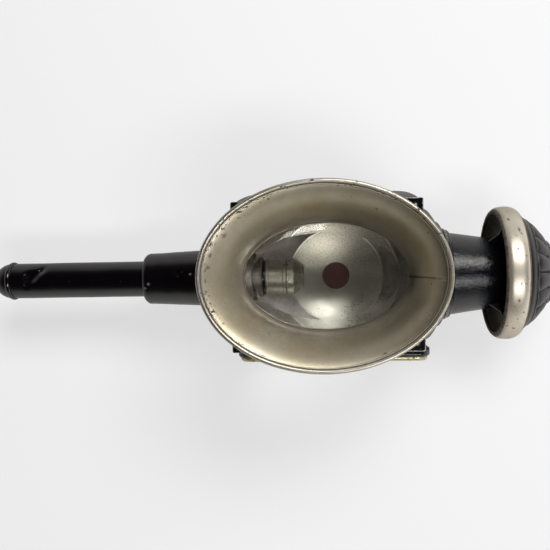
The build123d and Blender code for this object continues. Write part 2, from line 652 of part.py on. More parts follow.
# quarter-turn catch: knob outside, spindle through the frame, tongue behind the shell's slot
with BuildPart() as catch_knob:
    with BuildSketch(Plane.YZ.offset(49.6)):
        with Locations((CATCH_Y, CATCH_Z)):
            Circle(SPINDLE_R)
    extrude(amount=DOOR_X1 + 0.3 - 49.6)
    with BuildSketch(Plane.YZ.offset(DOOR_X1 + 0.3)):
        with Locations((CATCH_Y, CATCH_Z)):
            Circle(3.2)
    extrude(amount=2.4)
    fillet(faces().sort_by(Axis.X)[-1].edges(), 0.9)
    with BuildSketch(Plane.YZ.offset(DOOR_X1 + 2.0)):
        with Locations((CATCH_Y, CATCH_Z)):
            RectangleRounded(2.0, 5.8, 0.9)
    extrude(amount=2.6)

with BuildPart() as catch_tongue:
    with BuildSketch(Plane.YZ.offset(49.7)):
        with Locations((CATCH_Y, CATCH_Z)):
            RectangleRounded(3.4, 12.4, 1.0)
            Circle(SPINDLE_R, mode=Mode.SUBTRACT)
    extrude(amount=1.4)

# small round-headed rivets at the corners of the front plate
with BuildPart() as plate_rivets:
    with BuildSketch(Plane.XZ.offset(60.0)):
        with Locations((48.6, BZ - 63.6), (-48.6, BZ - 63.6), (48.6, BZ + 61.0), (-48.6, BZ + 61.0)):
            Circle(2.0)
    extrude(amount=1.1)
    fillet(faces().sort_by(Axis.Y)[0:4].edges(), 0.8)

# ------------------------------------------------------------------ labels and export
body_shell.part.label = "body_shell"
export_step(body_shell.part, "parts/body_shell.step")
floor_plate.part.label = "floor_plate"
export_step(floor_plate.part, "parts/floor_plate.step")
top_plate.part.label = "top_plate"
export_step(top_plate.part, "parts/top_plate.step")
front_plate.part.label = "front_plate"
export_step(front_plate.part, "parts/front_plate.step")
side_panel.part.label = "side_panel"
export_step(side_panel.part, "parts/side_panel.step")
hood_bell.part.label = "hood_bell"
export_step(hood_bell.part, "parts/hood_bell.step")
hood_rim.part.label = "hood_rim"
export_step(hood_rim.part, "parts/hood_rim.step")
hood_flange.part.label = "hood_flange"
export_step(hood_flange.part, "parts/hood_flange.step")
front_glass.part.label = "front_glass"
export_step(front_glass.part, "parts/front_glass.step")
glass_retainer.part.label = "glass_retainer"
export_step(glass_retainer.part, "parts/glass_retainer.step")
reflector.part.label = "reflector"
export_step(reflector.part, "parts/reflector.step")
reflector_rim.part.label = "reflector_rim"
export_step(reflector_rim.part, "parts/reflector_rim.step")
lens_tube.part.label = "lens_tube"
export_step(lens_tube.part, "parts/lens_tube.step")
rear_lens.part.label = "rear_lens"
export_step(rear_lens.part, "parts/rear_lens.step")
rear_bezel.part.label = "rear_bezel"
export_step(rear_bezel.part, "parts/rear_bezel.step")
crown.part.label = "crown"
export_step(crown.part, "parts/crown.step")
neck.part.label = "neck"
export_step(neck.part, "parts/neck.step")
neck_collar.part.label = "neck_collar"
export_step(neck_collar.part, "parts/neck_collar.step")
cap_band.part.label = "cap_band"
export_step(cap_band.part, "parts/cap_band.step")
cap_tier.part.label = "cap_tier"
export_step(cap_tier.part, "parts/cap_tier.step")
cap_dome.part.label = "cap_dome"
export_step(cap_dome.part, "parts/cap_dome.step")
cap_button.part.label = "cap_button"
export_step(cap_button.part, "parts/cap_button.step")
cap_struts.part.label = "cap_struts"
export_step(cap_struts.part, "parts/cap_struts.step")
wind_baffle.part.label = "wind_baffle"
export_step(wind_baffle.part, "parts/wind_baffle.step")
stem.part.label = "stem"
export_step(stem.part, "parts/stem.step")
stem_flange.part.label = "stem_flange"
export_step(stem_flange.part, "parts/stem_flange.step")
flange_rivets.part.label = "flange_rivets"
export_step(flange_rivets.part, "parts/flange_rivets.step")
guide_sleeve.part.label = "guide_sleeve"
export_step(guide_sleeve.part, "parts/guide_sleeve.step")
candle_tube.part.label = "candle_tube"
export_step(candle_tube.part, "parts/candle_tube.step")
nozzle_collar.part.label = "nozzle_collar"
export_step(nozzle_collar.part, "parts/nozzle_collar.step")
bayonet_pins.part.label = "bayonet_pins"
export_step(bayonet_pins.part, "parts/bayonet_pins.step")
nozzle_cap.part.label = "nozzle_cap"
export_step(nozzle_cap.part, "parts/nozzle_cap.step")
candle_follower.part.label = "candle_follower"
export_step(candle_follower.part, "parts/candle_follower.step")
candle_spring.part.label = "candle_spring"
export_step(candle_spring.part, "parts/candle_spring.step")
tube_end_cap.part.label = "tube_end_cap"
export_step(tube_end_cap.part, "parts/tube_end_cap.step")
door_frame.part.label = "door_frame"
export_step(door_frame.part, "parts/door_frame.step")
door_bead.part.label = "door_bead"
export_step(door_bead.part, "parts/door_bead.step")
door_bezel.part.label = "door_bezel"
export_step(door_bezel.part, "parts/door_bezel.step")
door_glass.part.label = "door_glass"
export_step(door_glass.part, "parts/door_glass.step")
door_glass_retainer.part.label = "door_glass_retainer"
export_step(door_glass_retainer.part, "parts/door_glass_retainer.step")
body_hinge.part.label = "body_hinge"
export_step(body_hinge.part, "parts/body_hinge.step")
door_hinge_leaf.part.label = "door_hinge_leaf"
export_step(door_hinge_leaf.part, "parts/door_hinge_leaf.step")
hinge_pin.part.label = "hinge_pin"
export_step(hinge_pin.part, "parts/hinge_pin.step")
catch_knob.part.label = "catch_knob"
export_step(catch_knob.part, "parts/catch_knob.step")
catch_tongue.part.label = "catch_tongue"
export_step(catch_tongue.part, "parts/catch_tongue.step")
plate_rivets.part.label = "plate_rivets"
export_step(plate_rivets.part, "parts/plate_rivets.step")
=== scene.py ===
import math

import bpy
import numpy as np
from mathutils import Matrix, Vector


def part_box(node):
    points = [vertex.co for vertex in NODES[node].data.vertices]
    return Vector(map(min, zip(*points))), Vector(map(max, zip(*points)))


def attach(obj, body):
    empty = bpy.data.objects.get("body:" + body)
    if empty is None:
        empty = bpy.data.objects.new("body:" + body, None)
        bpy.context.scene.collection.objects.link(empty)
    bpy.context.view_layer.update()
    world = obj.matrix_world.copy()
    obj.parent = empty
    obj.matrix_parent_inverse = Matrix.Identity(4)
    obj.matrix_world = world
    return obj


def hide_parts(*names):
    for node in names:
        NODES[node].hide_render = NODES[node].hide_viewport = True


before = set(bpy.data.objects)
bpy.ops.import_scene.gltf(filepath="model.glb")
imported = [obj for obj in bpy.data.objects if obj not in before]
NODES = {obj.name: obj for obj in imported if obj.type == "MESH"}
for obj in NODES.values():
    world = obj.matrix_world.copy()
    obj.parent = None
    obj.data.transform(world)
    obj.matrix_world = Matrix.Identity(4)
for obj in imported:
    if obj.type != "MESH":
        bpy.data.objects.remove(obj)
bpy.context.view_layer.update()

MM = 0.001

# reference heights in millimetres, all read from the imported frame
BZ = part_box("front_plate")[0].z / MM + 69.5          # body centre
STEM_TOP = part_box("stem")[1].z / MM
STEM_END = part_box("stem")[0].z / MM
TUBE_Z0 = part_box("candle_tube")[0].z / MM
TUBE_Z1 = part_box("candle_tube")[1].z / MM
TUBE_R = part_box("candle_tube")[1].x / MM
REFL_Z = (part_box("reflector")[0].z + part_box("reflector")[1].z) / 2 / MM
REFL_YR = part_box("reflector")[0].y / MM
REFL_YB = REFL_YR + 8.2 - 0.9
NECK_R0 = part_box("neck")[1].x / MM
NECK_Z0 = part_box("neck")[0].z / MM
NECK_Z1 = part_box("neck")[1].z / MM


def neck_r(z):
    return NECK_R0 - 0.1525 * (z - NECK_Z0)


# ---------------------------------------------------------------- curves
def natural(x, y, q):
    """Natural cubic spline through (x, y) read at q."""
    x, y, q = (np.asarray(v, float) for v in (x, y, q))
    n = len(x)
    h = np.diff(x)
    a = np.zeros((n, n))
    b = np.zeros(n)
    a[0, 0] = a[-1, -1] = 1
    for i in range(1, n - 1):
        a[i, i - 1], a[i, i], a[i, i + 1] = h[i - 1], 2 * (h[i - 1] + h[i]), h[i]
        b[i] = 3 * ((y[i + 1] - y[i]) / h[i] - (y[i] - y[i - 1]) / h[i - 1])
    c = np.linalg.solve(a, b)
    k = np.clip(np.searchsorted(x, q) - 1, 0, n - 2)
    d = q - x[k]
    slope = (y[k + 1] - y[k]) / h[k] - h[k] * (2 * c[k] + c[k + 1]) / 3
    return y[k] + slope * d + c[k] * d**2 + (c[k + 1] - c[k]) / (3 * h[k]) * d**3


def through(points, n):
    """n points of a smooth curve through 2-D points."""
    p = np.array(points, float)
    t = np.r_[0, np.cumsum(np.linalg.norm(np.diff(p, axis=0), axis=1))]
    q = np.linspace(0, t[-1], n)
    return np.c_[natural(t, p[:, 0], q), natural(t, p[:, 1], q)]


def arc3(p, q, r, n):
    """n points of the arc from p to r through q."""
    (ax, ay), (bx, by), (cx, cy) = p, q, r
    d = 2 * (ax * (by - cy) + bx * (cy - ay) + cx * (ay - by))
    ux = ((ax**2 + ay**2) * (by - cy) + (bx**2 + by**2) * (cy - ay) + (cx**2 + cy**2) * (ay - by)) / d
    uy = ((ax**2 + ay**2) * (cx - bx) + (bx**2 + by**2) * (ax - cx) + (cx**2 + cy**2) * (bx - ax)) / d
    a0, a1, a2 = (math.atan2(v[1] - uy, v[0] - ux) for v in (p, q, r))
    while a1 - a0 > math.pi: a1 -= 2 * math.pi
    while a1 - a0 < -math.pi: a1 += 2 * math.pi
    while a2 - a1 > math.pi: a2 -= 2 * math.pi
    while a2 - a1 < -math.pi: a2 += 2 * math.pi
    t = np.linspace(a0, a2, n)
    rad = math.hypot(ax - ux, ay - uy)
    return np.c_[ux + rad * np.cos(t), uy + rad * np.sin(t)]


def eased(points, radius=0.3, seg=3, closed=True, skip=()):
    """The polygon with its corners rounded, so that edges catch the light."""
    p = [np.array(v, float) for v in points]
    n, out = len(p), []
    for i, b in enumerate(p):
        if (not closed and i in (0, n - 1)) or i in skip:
            out.append(b)
            continue
        a, c = p[i - 1], p[(i + 1) % n]
        u, v = a - b, c - b
        lu, lv = np.linalg.norm(u), np.linalg.norm(v)
        if lu < 1e-9 or lv < 1e-9:
            continue
        u, v = u / lu, v / lv
        cosang = float(np.clip(u @ v, -1, 1))
        ang = math.acos(cosang)
        if ang > math.radians(158):
            out.append(b)
            continue
        r = radius[i] if hasattr(radius, "__len__") else radius
        t = min(r / math.tan(ang / 2), 0.45 * lu, 0.45 * lv)
        r = t * math.tan(ang / 2)
        centre = b + (u + v) / np.linalg.norm(u + v) * (r / math.sin(ang / 2))
        s, e = b + u * t - centre, b + v * t - centre
        w = math.acos(float(np.clip(s @ e / (np.linalg.norm(s) * np.linalg.norm(e) + 1e-12), -1, 1)))
        for k in range(seg + 1):
            f = k / seg
            if w < 1e-6:
                out.append(centre + s)
                break
            out.append(centre + (math.sin((1 - f) * w) * s + math.sin(f * w) * e) / math.sin(w))
    return np.array(out)


def finer(points, step, closed=True):
    """The polyline with no run longer than step."""
    p = np.array(points, float)
    q = np.vstack([p, p[:1]]) if closed else p
    out = []
    for a, b in zip(q[:-1], q[1:]):
        k = max(1, int(math.ceil(np.linalg.norm(b - a) / step)))
        out += [a + (b - a) * i / k for i in range(k)]
    if not closed:
        out.append(q[-1])
    return np.array(out)


def ripple(a, b, seed, waves=7, low=1.0, high=3.0):
    """A smooth wavy field in -1..1 over two coordinates, the same on each run."""
    rng = np.random.default_rng(seed)
    total = np.zeros(np.broadcast(a, b).shape)
    for _ in range(waves):
        f, g = rng.uniform(low, high, 2) * rng.choice([-1, 1], 2)
        total += np.sin(a * f + b * g + rng.uniform(0, 6.283))
    return total / waves


# ---------------------------------------------------------------- meshes
def build(name, verts, faces, mat, body, nodes=(), sharp=38, fields=None):
    """A piece from vertices in millimetres: outward normals, smooth with sharp creases, riding on its body."""
    v = np.asarray(verts, float)
    me = bpy.data.meshes.new(name)
    me.from_pydata((v * MM).tolist(), [], [list(map(int, f)) for f in faces])
    me.update()
    vol = 0.0
    me.calc_loop_triangles()
    tri = np.zeros(len(me.loop_triangles) * 3, np.int32)
    me.loop_triangles.foreach_get("vertices", tri)
    t = v[tri.reshape(-1, 3)]
    c = v.mean(0)
    vol = float(np.einsum("ij,ij->i", t[:, 0] - c, np.cross(t[:, 1] - c, t[:, 2] - c)).sum())
    if vol < 0:
        me.flip_normals()
    me.validate()
    me.shade_smooth()
    me.set_sharp_from_angle(angle=math.radians(sharp))
    for key, values in (fields or {}).items():
        at = me.attributes.new(key, "FLOAT", "POINT")
        at.data.foreach_set("value", np.asarray(values, np.float32).ravel())
    ob = bpy.data.objects.new(name, me)
    bpy.context.scene.collection.objects.link(ob)
    me.materials.append(mat)
    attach(ob, body)
    if nodes:
        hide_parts(*nodes)
    return ob


def grid_faces(m, n, wrap_m, wrap_n):
    """Quads of an m by n grid, index i * n + j."""
    i = np.arange(m if wrap_m else m - 1)
    j = np.arange(n if wrap_n else n - 1)
    ii, jj = np.meshgrid(i, j, indexing="ij")
    i2, j2 = (ii + 1) % m, (jj + 1) % n
    return np.stack([ii * n + jj, i2 * n + jj, i2 * n + j2, ii * n + j2], -1).reshape(-1, 4)


def revolve(name, prof, mat, body, nodes=(), n=192, closed=True, axis="Z", centre=(0, 0), warp=None, field=None, sharp=38):
    """Turns a profile of (radius, height) about Z, or about a line along Y. warp(T, R, H) moves the points."""
    p = np.array(prof, float)
    m = len(p)
    th = np.linspace(0, 2 * math.pi, n, endpoint=False)
    T, R = np.meshgrid(th, p[:, 0], indexing="xy")
    _, H = np.meshgrid(th, p[:, 1], indexing="xy")
    R0, H0 = R.copy(), H.copy()
    if warp:
        R, H = warp(T, R, H)
    if axis == "Z":
        V = np.stack([centre[0] + R * np.cos(T), centre[1] + R * np.sin(T), H], -1)
    else:
        V = np.stack([centre[0] + R * np.cos(T), H, centre[1] + R * np.sin(T)], -1)
    fields = {}
    if field:
        for key, val in field(T, R0, H0).items():
            fields[key] = np.broadcast_to(val, R.shape).copy()
    verts, faces = V.reshape(-1, 3), grid_faces(m, n, closed, True).tolist()
    flat = {k: f.reshape(-1) for k, f in fields.items()}
    if not closed:
        keep = np.ones(m, bool)
        poles = []
        for end, nxt in ((0, 1), (m - 1, m - 2)):
            if p[end, 0] < 1e-6:
                keep[end] = False
                poles.append((end, nxt))
        if poles:
            rows = np.cumsum(keep) - 1
            new = V[keep].reshape(-1, 3)
            flat = {k: f[keep].reshape(-1) for k, f in fields.items()}
            mm = int(keep.sum())
            faces = grid_faces(mm, n, False, True).tolist()
            for end, nxt in poles:
                new = np.vstack([new, V[end].mean(0)])
                flat = {k: np.r_[f, fields[k][end, 0]] for k, f in flat.items()}
                pole, row = len(new) - 1, int(rows[nxt])
                for j in range(n):
                    a, b = row * n + j, row * n + (j + 1) % n
                    faces.append([pole, b, a] if end == 0 else [pole, a, b])
            verts = new
    return build(name, verts, faces, mat, body, nodes, sharp, flat)


def loft(name, rings, mat, body, nodes=(), closed=True, fields=None, sharp=38):
    """Joins rings of equal length. An open loft is closed by a flat face at each end."""
    V = np.array(rings, float)
    m, n = V.shape[:2]
    faces = grid_faces(m, n, closed, True).tolist()
    if not closed:
        faces.append(list(range(n))[::-1])
        faces.append([(m - 1) * n + j for j in range(n)])
    return build(name, V.reshape(-1, 3), faces, mat, body, nodes, sharp, fields)


def rrect(w, h, r, cy, cz, corner=10, side=8):
    """A rounded rectangle outline, the same count whatever its size."""
    r = max(min(r, w / 2 - 1e-3, h / 2 - 1e-3), 1e-3)
    out = []
    for k, (sx, sy) in enumerate(((1, 1), (-1, 1), (-1, -1), (1, -1))):
        c = np.array([cy + sx * (w / 2 - r), cz + sy * (h / 2 - r)])
        a = np.linspace(0, math.pi / 2, corner + 1) + k * math.pi / 2
        out.append(np.c_[c[0] + r * np.cos(a), c[1] + r * np.sin(a)])
    pts = []
    for k in range(4):
        pts.append(out[k])
        a, b = out[k][-1], out[(k + 1) % 4][0]
        f = np.linspace(0, 1, side + 2)[1:-1, None]
        pts.append(a + (b - a) * f)
    return np.vstack(pts)


# ---------------------------------------------------------------- node helpers
class Mat:
    """A material with a Principled shader, and short ways to make nodes for it."""

    def __init__(self, name):
        self.m = bpy.data.materials.new(name)
        self.m.use_nodes = True
        self.nt = self.m.node_tree
        self.nt.nodes.clear()
        self.out = self.nt.nodes.new("ShaderNodeOutputMaterial")
        self.p = self.nt.nodes.new("ShaderNodeBsdfPrincipled")
        self.nt.links.new(self.p.outputs[0], self.out.inputs[0])
        self.co = self.nt.nodes.new("ShaderNodeTexCoord").outputs["Object"]

    def link(self, a, b):
        if hasattr(a, "links"):
            self.nt.links.new(a, b)
        else:
            b.default_value = a

    def node(self, kind, **props):
        n = self.nt.nodes.new(kind)
        for k, v in props.items():
            setattr(n, k, v)
        return n

    def noise(self, scale, detail=3.0, rough=0.55, vec=None, warp=0.0):
        n = self.node("ShaderNodeTexNoise")
        self.link(vec or self.co, n.inputs["Vector"])
        n.inputs["Scale"].default_value = scale
        n.inputs["Detail"].default_value = detail
        n.inputs["Roughness"].default_value = rough
        n.inputs["Distortion"].default_value = warp
        return n.outputs["Fac"]

    def cells(self, scale, vec=None, feature="F1"):
        n = self.node("ShaderNodeTexVoronoi", feature=feature)
        self.link(vec or self.co, n.inputs["Vector"])
        n.inputs["Scale"].default_value = scale
        return n.outputs["Distance"]

    def stretch(self, x, y, z):
        n = self.node("ShaderNodeMapping")
        self.link(self.co, n.inputs["Vector"])
        n.inputs["Scale"].default_value = (x, y, z)
        return n.outputs[0]

    def math(self, op, a, b=0.0, c=0.0, clamp=False):
        n = self.node("ShaderNodeMath", operation=op, use_clamp=clamp)
        for v, s in zip((a, b, c), n.inputs):
            self.link(v, s)
        return n.outputs[0]

    def step(self, v, lo, hi):
        """0 below lo, 1 above hi, smooth between. lo may be above hi to turn it round."""
        n = self.node("ShaderNodeMapRange", interpolation_type="SMOOTHSTEP")
        self.link(v, n.inputs["Value"])
        flip = lo > hi
        a, b = (hi, lo) if flip else (lo, hi)
        n.inputs["From Min"].default_value, n.inputs["From Max"].default_value = a, b
        n.inputs["To Min"].default_value, n.inputs["To Max"].default_value = (1, 0) if flip else (0, 1)
        return n.outputs["Result"]

    def ranged(self, v, a, b):
        """v from 0..1 to a..b."""
        n = self.node("ShaderNodeMapRange")
        self.link(v, n.inputs["Value"])
        n.inputs["To Min"].default_value, n.inputs["To Max"].default_value = a, b
        return n.outputs["Result"]

    def mix(self, f, a, b):
        n = self.node("ShaderNodeMix", data_type="RGBA")
        self.link(f, n.inputs[0])
        for v, s in ((a, n.inputs[6]), (b, n.inputs[7])):
            if hasattr(v, "links"):
                self.nt.links.new(v, s)
            else:
                s.default_value = (*v, 1.0)
        return n.outputs[2]

    def attr(self, name):
        return self.node("ShaderNodeAttribute", attribute_name=name).outputs["Fac"]

    def xyz(self):
        n = self.node("ShaderNodeSeparateXYZ")
        self.nt.links.new(self.co, n.inputs[0])
        return n.outputs

    def bump(self, height, strength, distance, normal=None):
        n = self.node("ShaderNodeBump")
        self.link(height, n.inputs["Height"])
        n.inputs["Strength"].default_value = strength
        n.inputs["Distance"].default_value = distance
        if normal is not None:
            self.nt.links.new(normal, n.inputs["Normal"])
        return n.outputs[0]

    def set(self, **sockets):
        for k, v in sockets.items():
            s = self.p.inputs[k.replace("_", " ")]
            if isinstance(v, tuple) and len(v) == 3:
                v = (*v, 1.0)
            self.link(v, s)
        return self


def clamp01(m, v):
    return m.math("MINIMUM", m.math("MAXIMUM", v, 0.0), 1.0)


def nickel(name, base=(0.425, 0.385, 0.300), warm=(0.375, 0.328, 0.232), rough=(0.30, 0.42), pits=1.0, low=0.715):
    """Old nickel silver: warm grey, wiped and slightly clouded, with brown pits, and tarnish in its joints; on the hood
    bell and rolled rim the same darkening also serves as painted shade.
    """
    m = Mat(name)
    cloud = m.noise(26, 4, 0.6)
    blotch = m.noise(90, 4, 0.6, warp=0.6)
    fine = m.noise(900, 3, 0.6)
    tone = m.mix(m.step(cloud, 0.42, 0.66), base, warm)
    tone = m.mix(m.math("MULTIPLY", m.step(blotch, 0.52, 0.72), 0.35), tone, (0.33, 0.29, 0.20))
    tone = m.mix(m.math("MULTIPLY", m.step(fine, 0.50, 0.75), 0.22), tone, (0.28, 0.245, 0.175))
    wear = m.attr("wear")
    spots = m.noise(470, 2, 0.5, warp=0.25)
    where = m.noise(60, 2, 0.5)
    pit = m.math("MULTIPLY", m.step(spots, low, low + 0.035), m.step(where, 0.47, 0.58))
    rimpit = m.math("MULTIPLY", m.step(spots, 0.60, 0.64), m.math("MULTIPLY", m.step(wear, 0.15, 0.5), m.step(where, 0.42, 0.52)))
    pit = clamp01(m, m.math("MULTIPLY", m.math("ADD", pit, rimpit), pits))
    tone = m.mix(pit, tone, (0.055, 0.042, 0.026))
    # darkening read from the attribute: tarnish in joints and, on the hood bell and rim, painted shade
    dirt = m.attr("dirt")
    grime_and_shade = m.math("MULTIPLY", dirt, m.ranged(m.noise(260, 3, 0.6), 0.55, 1.25))
    grime_and_shade = clamp01(m, grime_and_shade)
    tone = m.mix(grime_and_shade, tone, (0.050, 0.036, 0.018))
    r = m.ranged(m.math("ADD", m.math("MULTIPLY", cloud, 0.5), m.math("MULTIPLY", fine, 0.5)), rough[0] - 0.04, rough[1] + 0.06)
    r = m.math("ADD", r, m.math("MULTIPLY", clamp01(m, m.math("ADD", pit, grime_and_shade)), 0.35), clamp=True)
    wipe = m.noise(320, 3, 0.65, vec=m.stretch(1.0, 4.0, 1.0))
    n1 = m.bump(wipe, 0.10, 0.00018)
    n2 = m.bump(m.math("SUBTRACT", 1.0, pit), 0.5, 0.00025, n1)
    metal = m.math("SUBTRACT", 1.0, m.math("MULTIPLY", clamp01(m, m.math("ADD", pit, grime_and_shade)), 0.75))
    m.set(Base_Color=tone, Roughness=r, Metallic=metal, Normal=n2)
    return m


def enamel(name, peel=0.35, coarse=0.0, gloss=(0.14, 0.30), chips=1.0, tint=(0.0016, 0.0016, 0.0021), lining=None, edge=None):
    """Brushed-on black coach enamel over sheet metal: orange peel, dust nibs, chips, and edges rubbed grey."""
    m = Mat(name)
    cloud = m.noise(34, 4, 0.6)
    peeling = m.noise(620, 3, 0.55)
    nibs = m.cells(900)
    tone = m.mix(m.step(cloud, 0.40, 0.70), tint, tuple(1.9 * c for c in tint))
    chip_shape = m.noise(260, 4, 0.62, warp=0.5)
    chip_zone = m.noise(48, 2, 0.5)
    chip = m.math("MULTIPLY", m.step(chip_shape, 0.715, 0.735), m.step(chip_zone, 0.46, 0.58))
    chip = m.math("MULTIPLY", chip, chips)
    mark = m.attr("chip")
    ragged = m.math("ADD", m.math("MULTIPLY", mark, 0.8), m.math("MULTIPLY", m.noise(1900, 3, 0.65), 1.5))
    chip = m.math("MAXIMUM", chip, m.math("MULTIPLY", m.math("MULTIPLY", m.step(ragged, 1.10, 1.50), m.step(mark, 0.05, 0.3)), 0.42))
    wear = m.attr("wear")
    if edge is not None:
        wear = m.math("MAXIMUM", wear, edge(m))
    rub = m.step(m.math("ADD", m.math("MULTIPLY", wear, 0.75), m.math("MULTIPLY", m.noise(520, 4, 0.7), 0.62)), 0.72, 0.92)
    bare = clamp01(m, m.math("MAXIMUM", chip, rub))
    tone = m.mix(m.math("MULTIPLY", m.step(m.noise(1500, 2, 0.6), 0.68, 0.74), 0.4), tone, (0.03, 0.03, 0.034))
    metal_tone = m.mix(m.noise(400, 3, 0.6), (0.20, 0.19, 0.185), (0.46, 0.44, 0.41))
    tone = m.mix(bare, tone, metal_tone)
    r = m.ranged(m.noise(180, 3, 0.6), gloss[0], gloss[1])
    r = m.math("ADD", r, m.math("MULTIPLY", bare, 0.22), clamp=True)
    n = m.bump(peeling, peel, 0.00025)
    if coarse:
        n = m.bump(m.noise(820, 2, 0.6), coarse, 0.0004, n)
    n = m.bump(m.math("MULTIPLY", m.step(nibs, 0.22, 0.05), m.step(m.noise(120, 2, 0.5), 0.55, 0.65)), 0.25, 0.0003, n)
    n = m.bump(m.math("SUBTRACT", 1.0, bare), 0.35, 0.0002, n)
    metal = m.math("MULTIPLY", bare, 0.6)
    if lining is not None:
        inside = lining(m)
        tin_tone, tin_rough = tin_look(m)
        tone = m.mix(inside, tone, tin_tone)
        r = m.math("ADD", m.math("MULTIPLY", r, m.math("SUBTRACT", 1.0, inside)), m.math("MULTIPLY", tin_rough, inside))
        metal = m.math("ADD", m.math("MULTIPLY", metal, m.math("SUBTRACT", 1.0, inside)), m.math("MULTIPLY", inside, 0.42), clamp=True)
    m.set(Base_Color=tone, Roughness=r, Metallic=metal, Normal=n)
    return m


def tin_look(m):
    """Colour and roughness of the tinned inside, smoked by the candle."""
    cloud = m.noise(55, 5, 0.65, warp=0.4)
    fine = m.noise(420, 4, 0.65)
    tone = m.mix(m.step(cloud, 0.38, 0.66), (0.70, 0.655, 0.61), (0.46, 0.415, 0.39))
    tone = m.mix(m.math("MULTIPLY", m.step(fine, 0.56, 0.72), 0.6), tone, (0.24, 0.205, 0.20))
    return tone, m.ranged(fine, 0.34, 0.52)


def tin(name):
    m = Mat(name)
    tone, r = tin_look(m)
    n = m.bump(m.noise(300, 4, 0.6), 0.25, 0.0003)
    m.set(Base_Color=tone, Roughness=r, Metallic=0.6, Normal=n)
    return m


def silver(name):
    """Silver-plated copper of the reflector: bright, swirled by polishing, freckled with tarnish."""
    m = Mat(name)
    cloud = m.noise(42, 4, 0.6)
    freckle = m.noise(1300, 3, 0.65)
    film = m.attr("tarnish")
    zone = m.math("ADD", m.math("MULTIPLY", m.step(m.noise(70, 3, 0.6), 0.45, 0.62), 0.25), film, clamp=True)
    tone = m.mix(m.step(cloud, 0.40, 0.66), (0.80, 0.765, 0.69), (0.70, 0.665, 0.59))
    tone = m.mix(m.math("MULTIPLY", film, 0.75), tone, (0.40, 0.365, 0.30))
    tone = m.mix(m.math("MULTIPLY", m.math("MULTIPLY", m.step(freckle, 0.46, 0.62), zone), 0.80), tone, (0.25, 0.22, 0.17))
    spot = m.math("MULTIPLY", m.step(m.noise(700, 2, 0.5, warp=0.3), 0.765, 0.80), 0.6)
    tone = m.mix(spot, tone, (0.16, 0.14, 0.115))
    r = m.ranged(m.noise(300, 4, 0.6), 0.235, 0.325)
    r = m.math("ADD", r, m.math("MULTIPLY", zone, 0.15), clamp=True)
    n = m.bump(m.noise(150, 3, 0.6), 0.06, 0.0003)
    n = m.bump(freckle, 0.05, 0.0001, n)
    m.set(Base_Color=tone, Roughness=r, Metallic=0.86, Normal=n)
    return m


def glass(name, colour, rough=0.02, clear=0.92):
    """Old polished glass. Lamps light what is behind it."""
    m = Mat(name)
    m.set(Base_Color=m.mix(m.noise(60, 2, 0.5), colour, tuple(0.95 * c for c in colour)), Transmission_Weight=1.0, IOR=1.5,
          Normal=m.bump(m.noise(38, 2, 0.5), 0.04, 0.0004))
    m.set(Roughness=m.ranged(m.noise(500, 3, 0.6), rough * 0.6, rough * 1.4))
    clearer = m.node("ShaderNodeBsdfTransparent")
    clearer.inputs[0].default_value = (*(clear * c for c in colour), 1)
    mixer = m.node("ShaderNodeMixShader")
    path = m.node("ShaderNodeLightPath")
    m.nt.links.new(path.outputs["Is Shadow Ray"], mixer.inputs[0])
    m.nt.links.new(m.p.outputs[0], mixer.inputs[1])
    m.nt.links.new(clearer.outputs[0], mixer.inputs[2])
    m.nt.links.new(mixer.outputs[0], m.out.inputs[0])
    return m


def plain_metal(name, base, dark, rough=(0.22, 0.4)):
    m = Mat(name)
    cloud = m.noise(120, 4, 0.6)
    fine = m.noise(1100, 3, 0.6)
    tone = m.mix(m.step(cloud, 0.4, 0.66), base, dark)
    tone = m.mix(m.math("MULTIPLY", m.step(fine, 0.58, 0.74), 0.5), tone, tuple(0.35 * c for c in dark))
    m.set(Base_Color=tone, Roughness=m.ranged(fine, *rough), Metallic=1.0, Normal=m.bump(fine, 0.15, 0.0001))
    return m


NICKEL = nickel("aged_nickel").m
NICKEL_BAND = nickel("band_nickel", base=(0.56, 0.515, 0.445), warm=(0.50, 0.45, 0.365), rough=(0.34, 0.44), pits=1.0, low=0.655).m
NICKEL_DULL = nickel("dull_nickel", base=(0.42, 0.39, 0.33), warm=(0.34, 0.305, 0.23), rough=(0.28, 0.44), pits=1.0).m
NICKEL_GREEN = nickel("door_nickel", base=(0.50, 0.47, 0.29), warm=(0.40, 0.36, 0.17), rough=(0.25, 0.40), pits=1.2).m
SOOTED = plain_metal("sooted_tin", (0.26, 0.235, 0.215), (0.14, 0.125, 0.115), (0.44, 0.58)).m
RIM = nickel("rim_nickel", base=(0.425, 0.400, 0.345), warm=(0.375, 0.345, 0.28), rough=(0.27, 0.39), pits=1.2).m
BEAD = nickel("bead_silver", base=(0.92, 0.89, 0.82), warm=(0.86, 0.82, 0.72), rough=(0.30, 0.40), pits=0.3).m
BLACK = enamel("coach_black").m
rough_black = enamel("stippled_black", peel=0.22, coarse=0.70, gloss=(0.06, 0.12), chips=0.35, tint=(0.0020, 0.0026, 0.0038))
rough_black.p.inputs["Specular IOR Level"].default_value = 0.46
BLACK_ROUGH = rough_black.m
cast = enamel("cap_black", peel=0.5, coarse=0.3, gloss=(0.24, 0.38), chips=0.6, tint=(0.0065, 0.0052, 0.0070))
cast.p.inputs["Specular IOR Level"].default_value = 0.32
BLACK_CAST = cast.m
BLACK_TUBE = enamel("tube_black", peel=0.14, gloss=(0.08, 0.16), chips=0.0, tint=(0.0013, 0.0007, 0.0013)).m
TIN = tin("tinned_inside").m
SILVER = silver("silvered_reflector").m
CLEAR = glass("clear_plate_glass", (0.955, 0.968, 0.955)).m
BRASS = plain_metal("old_brass", (0.55, 0.42, 0.19), (0.34, 0.24, 0.10)).m
SMOKED = plain_metal("smoked_tin", (0.15, 0.14, 0.145), (0.08, 0.07, 0.072), (0.32, 0.48)).m
STEEL = plain_metal("spring_steel_wire", (0.36, 0.35, 0.34), (0.16, 0.14, 0.13)).m

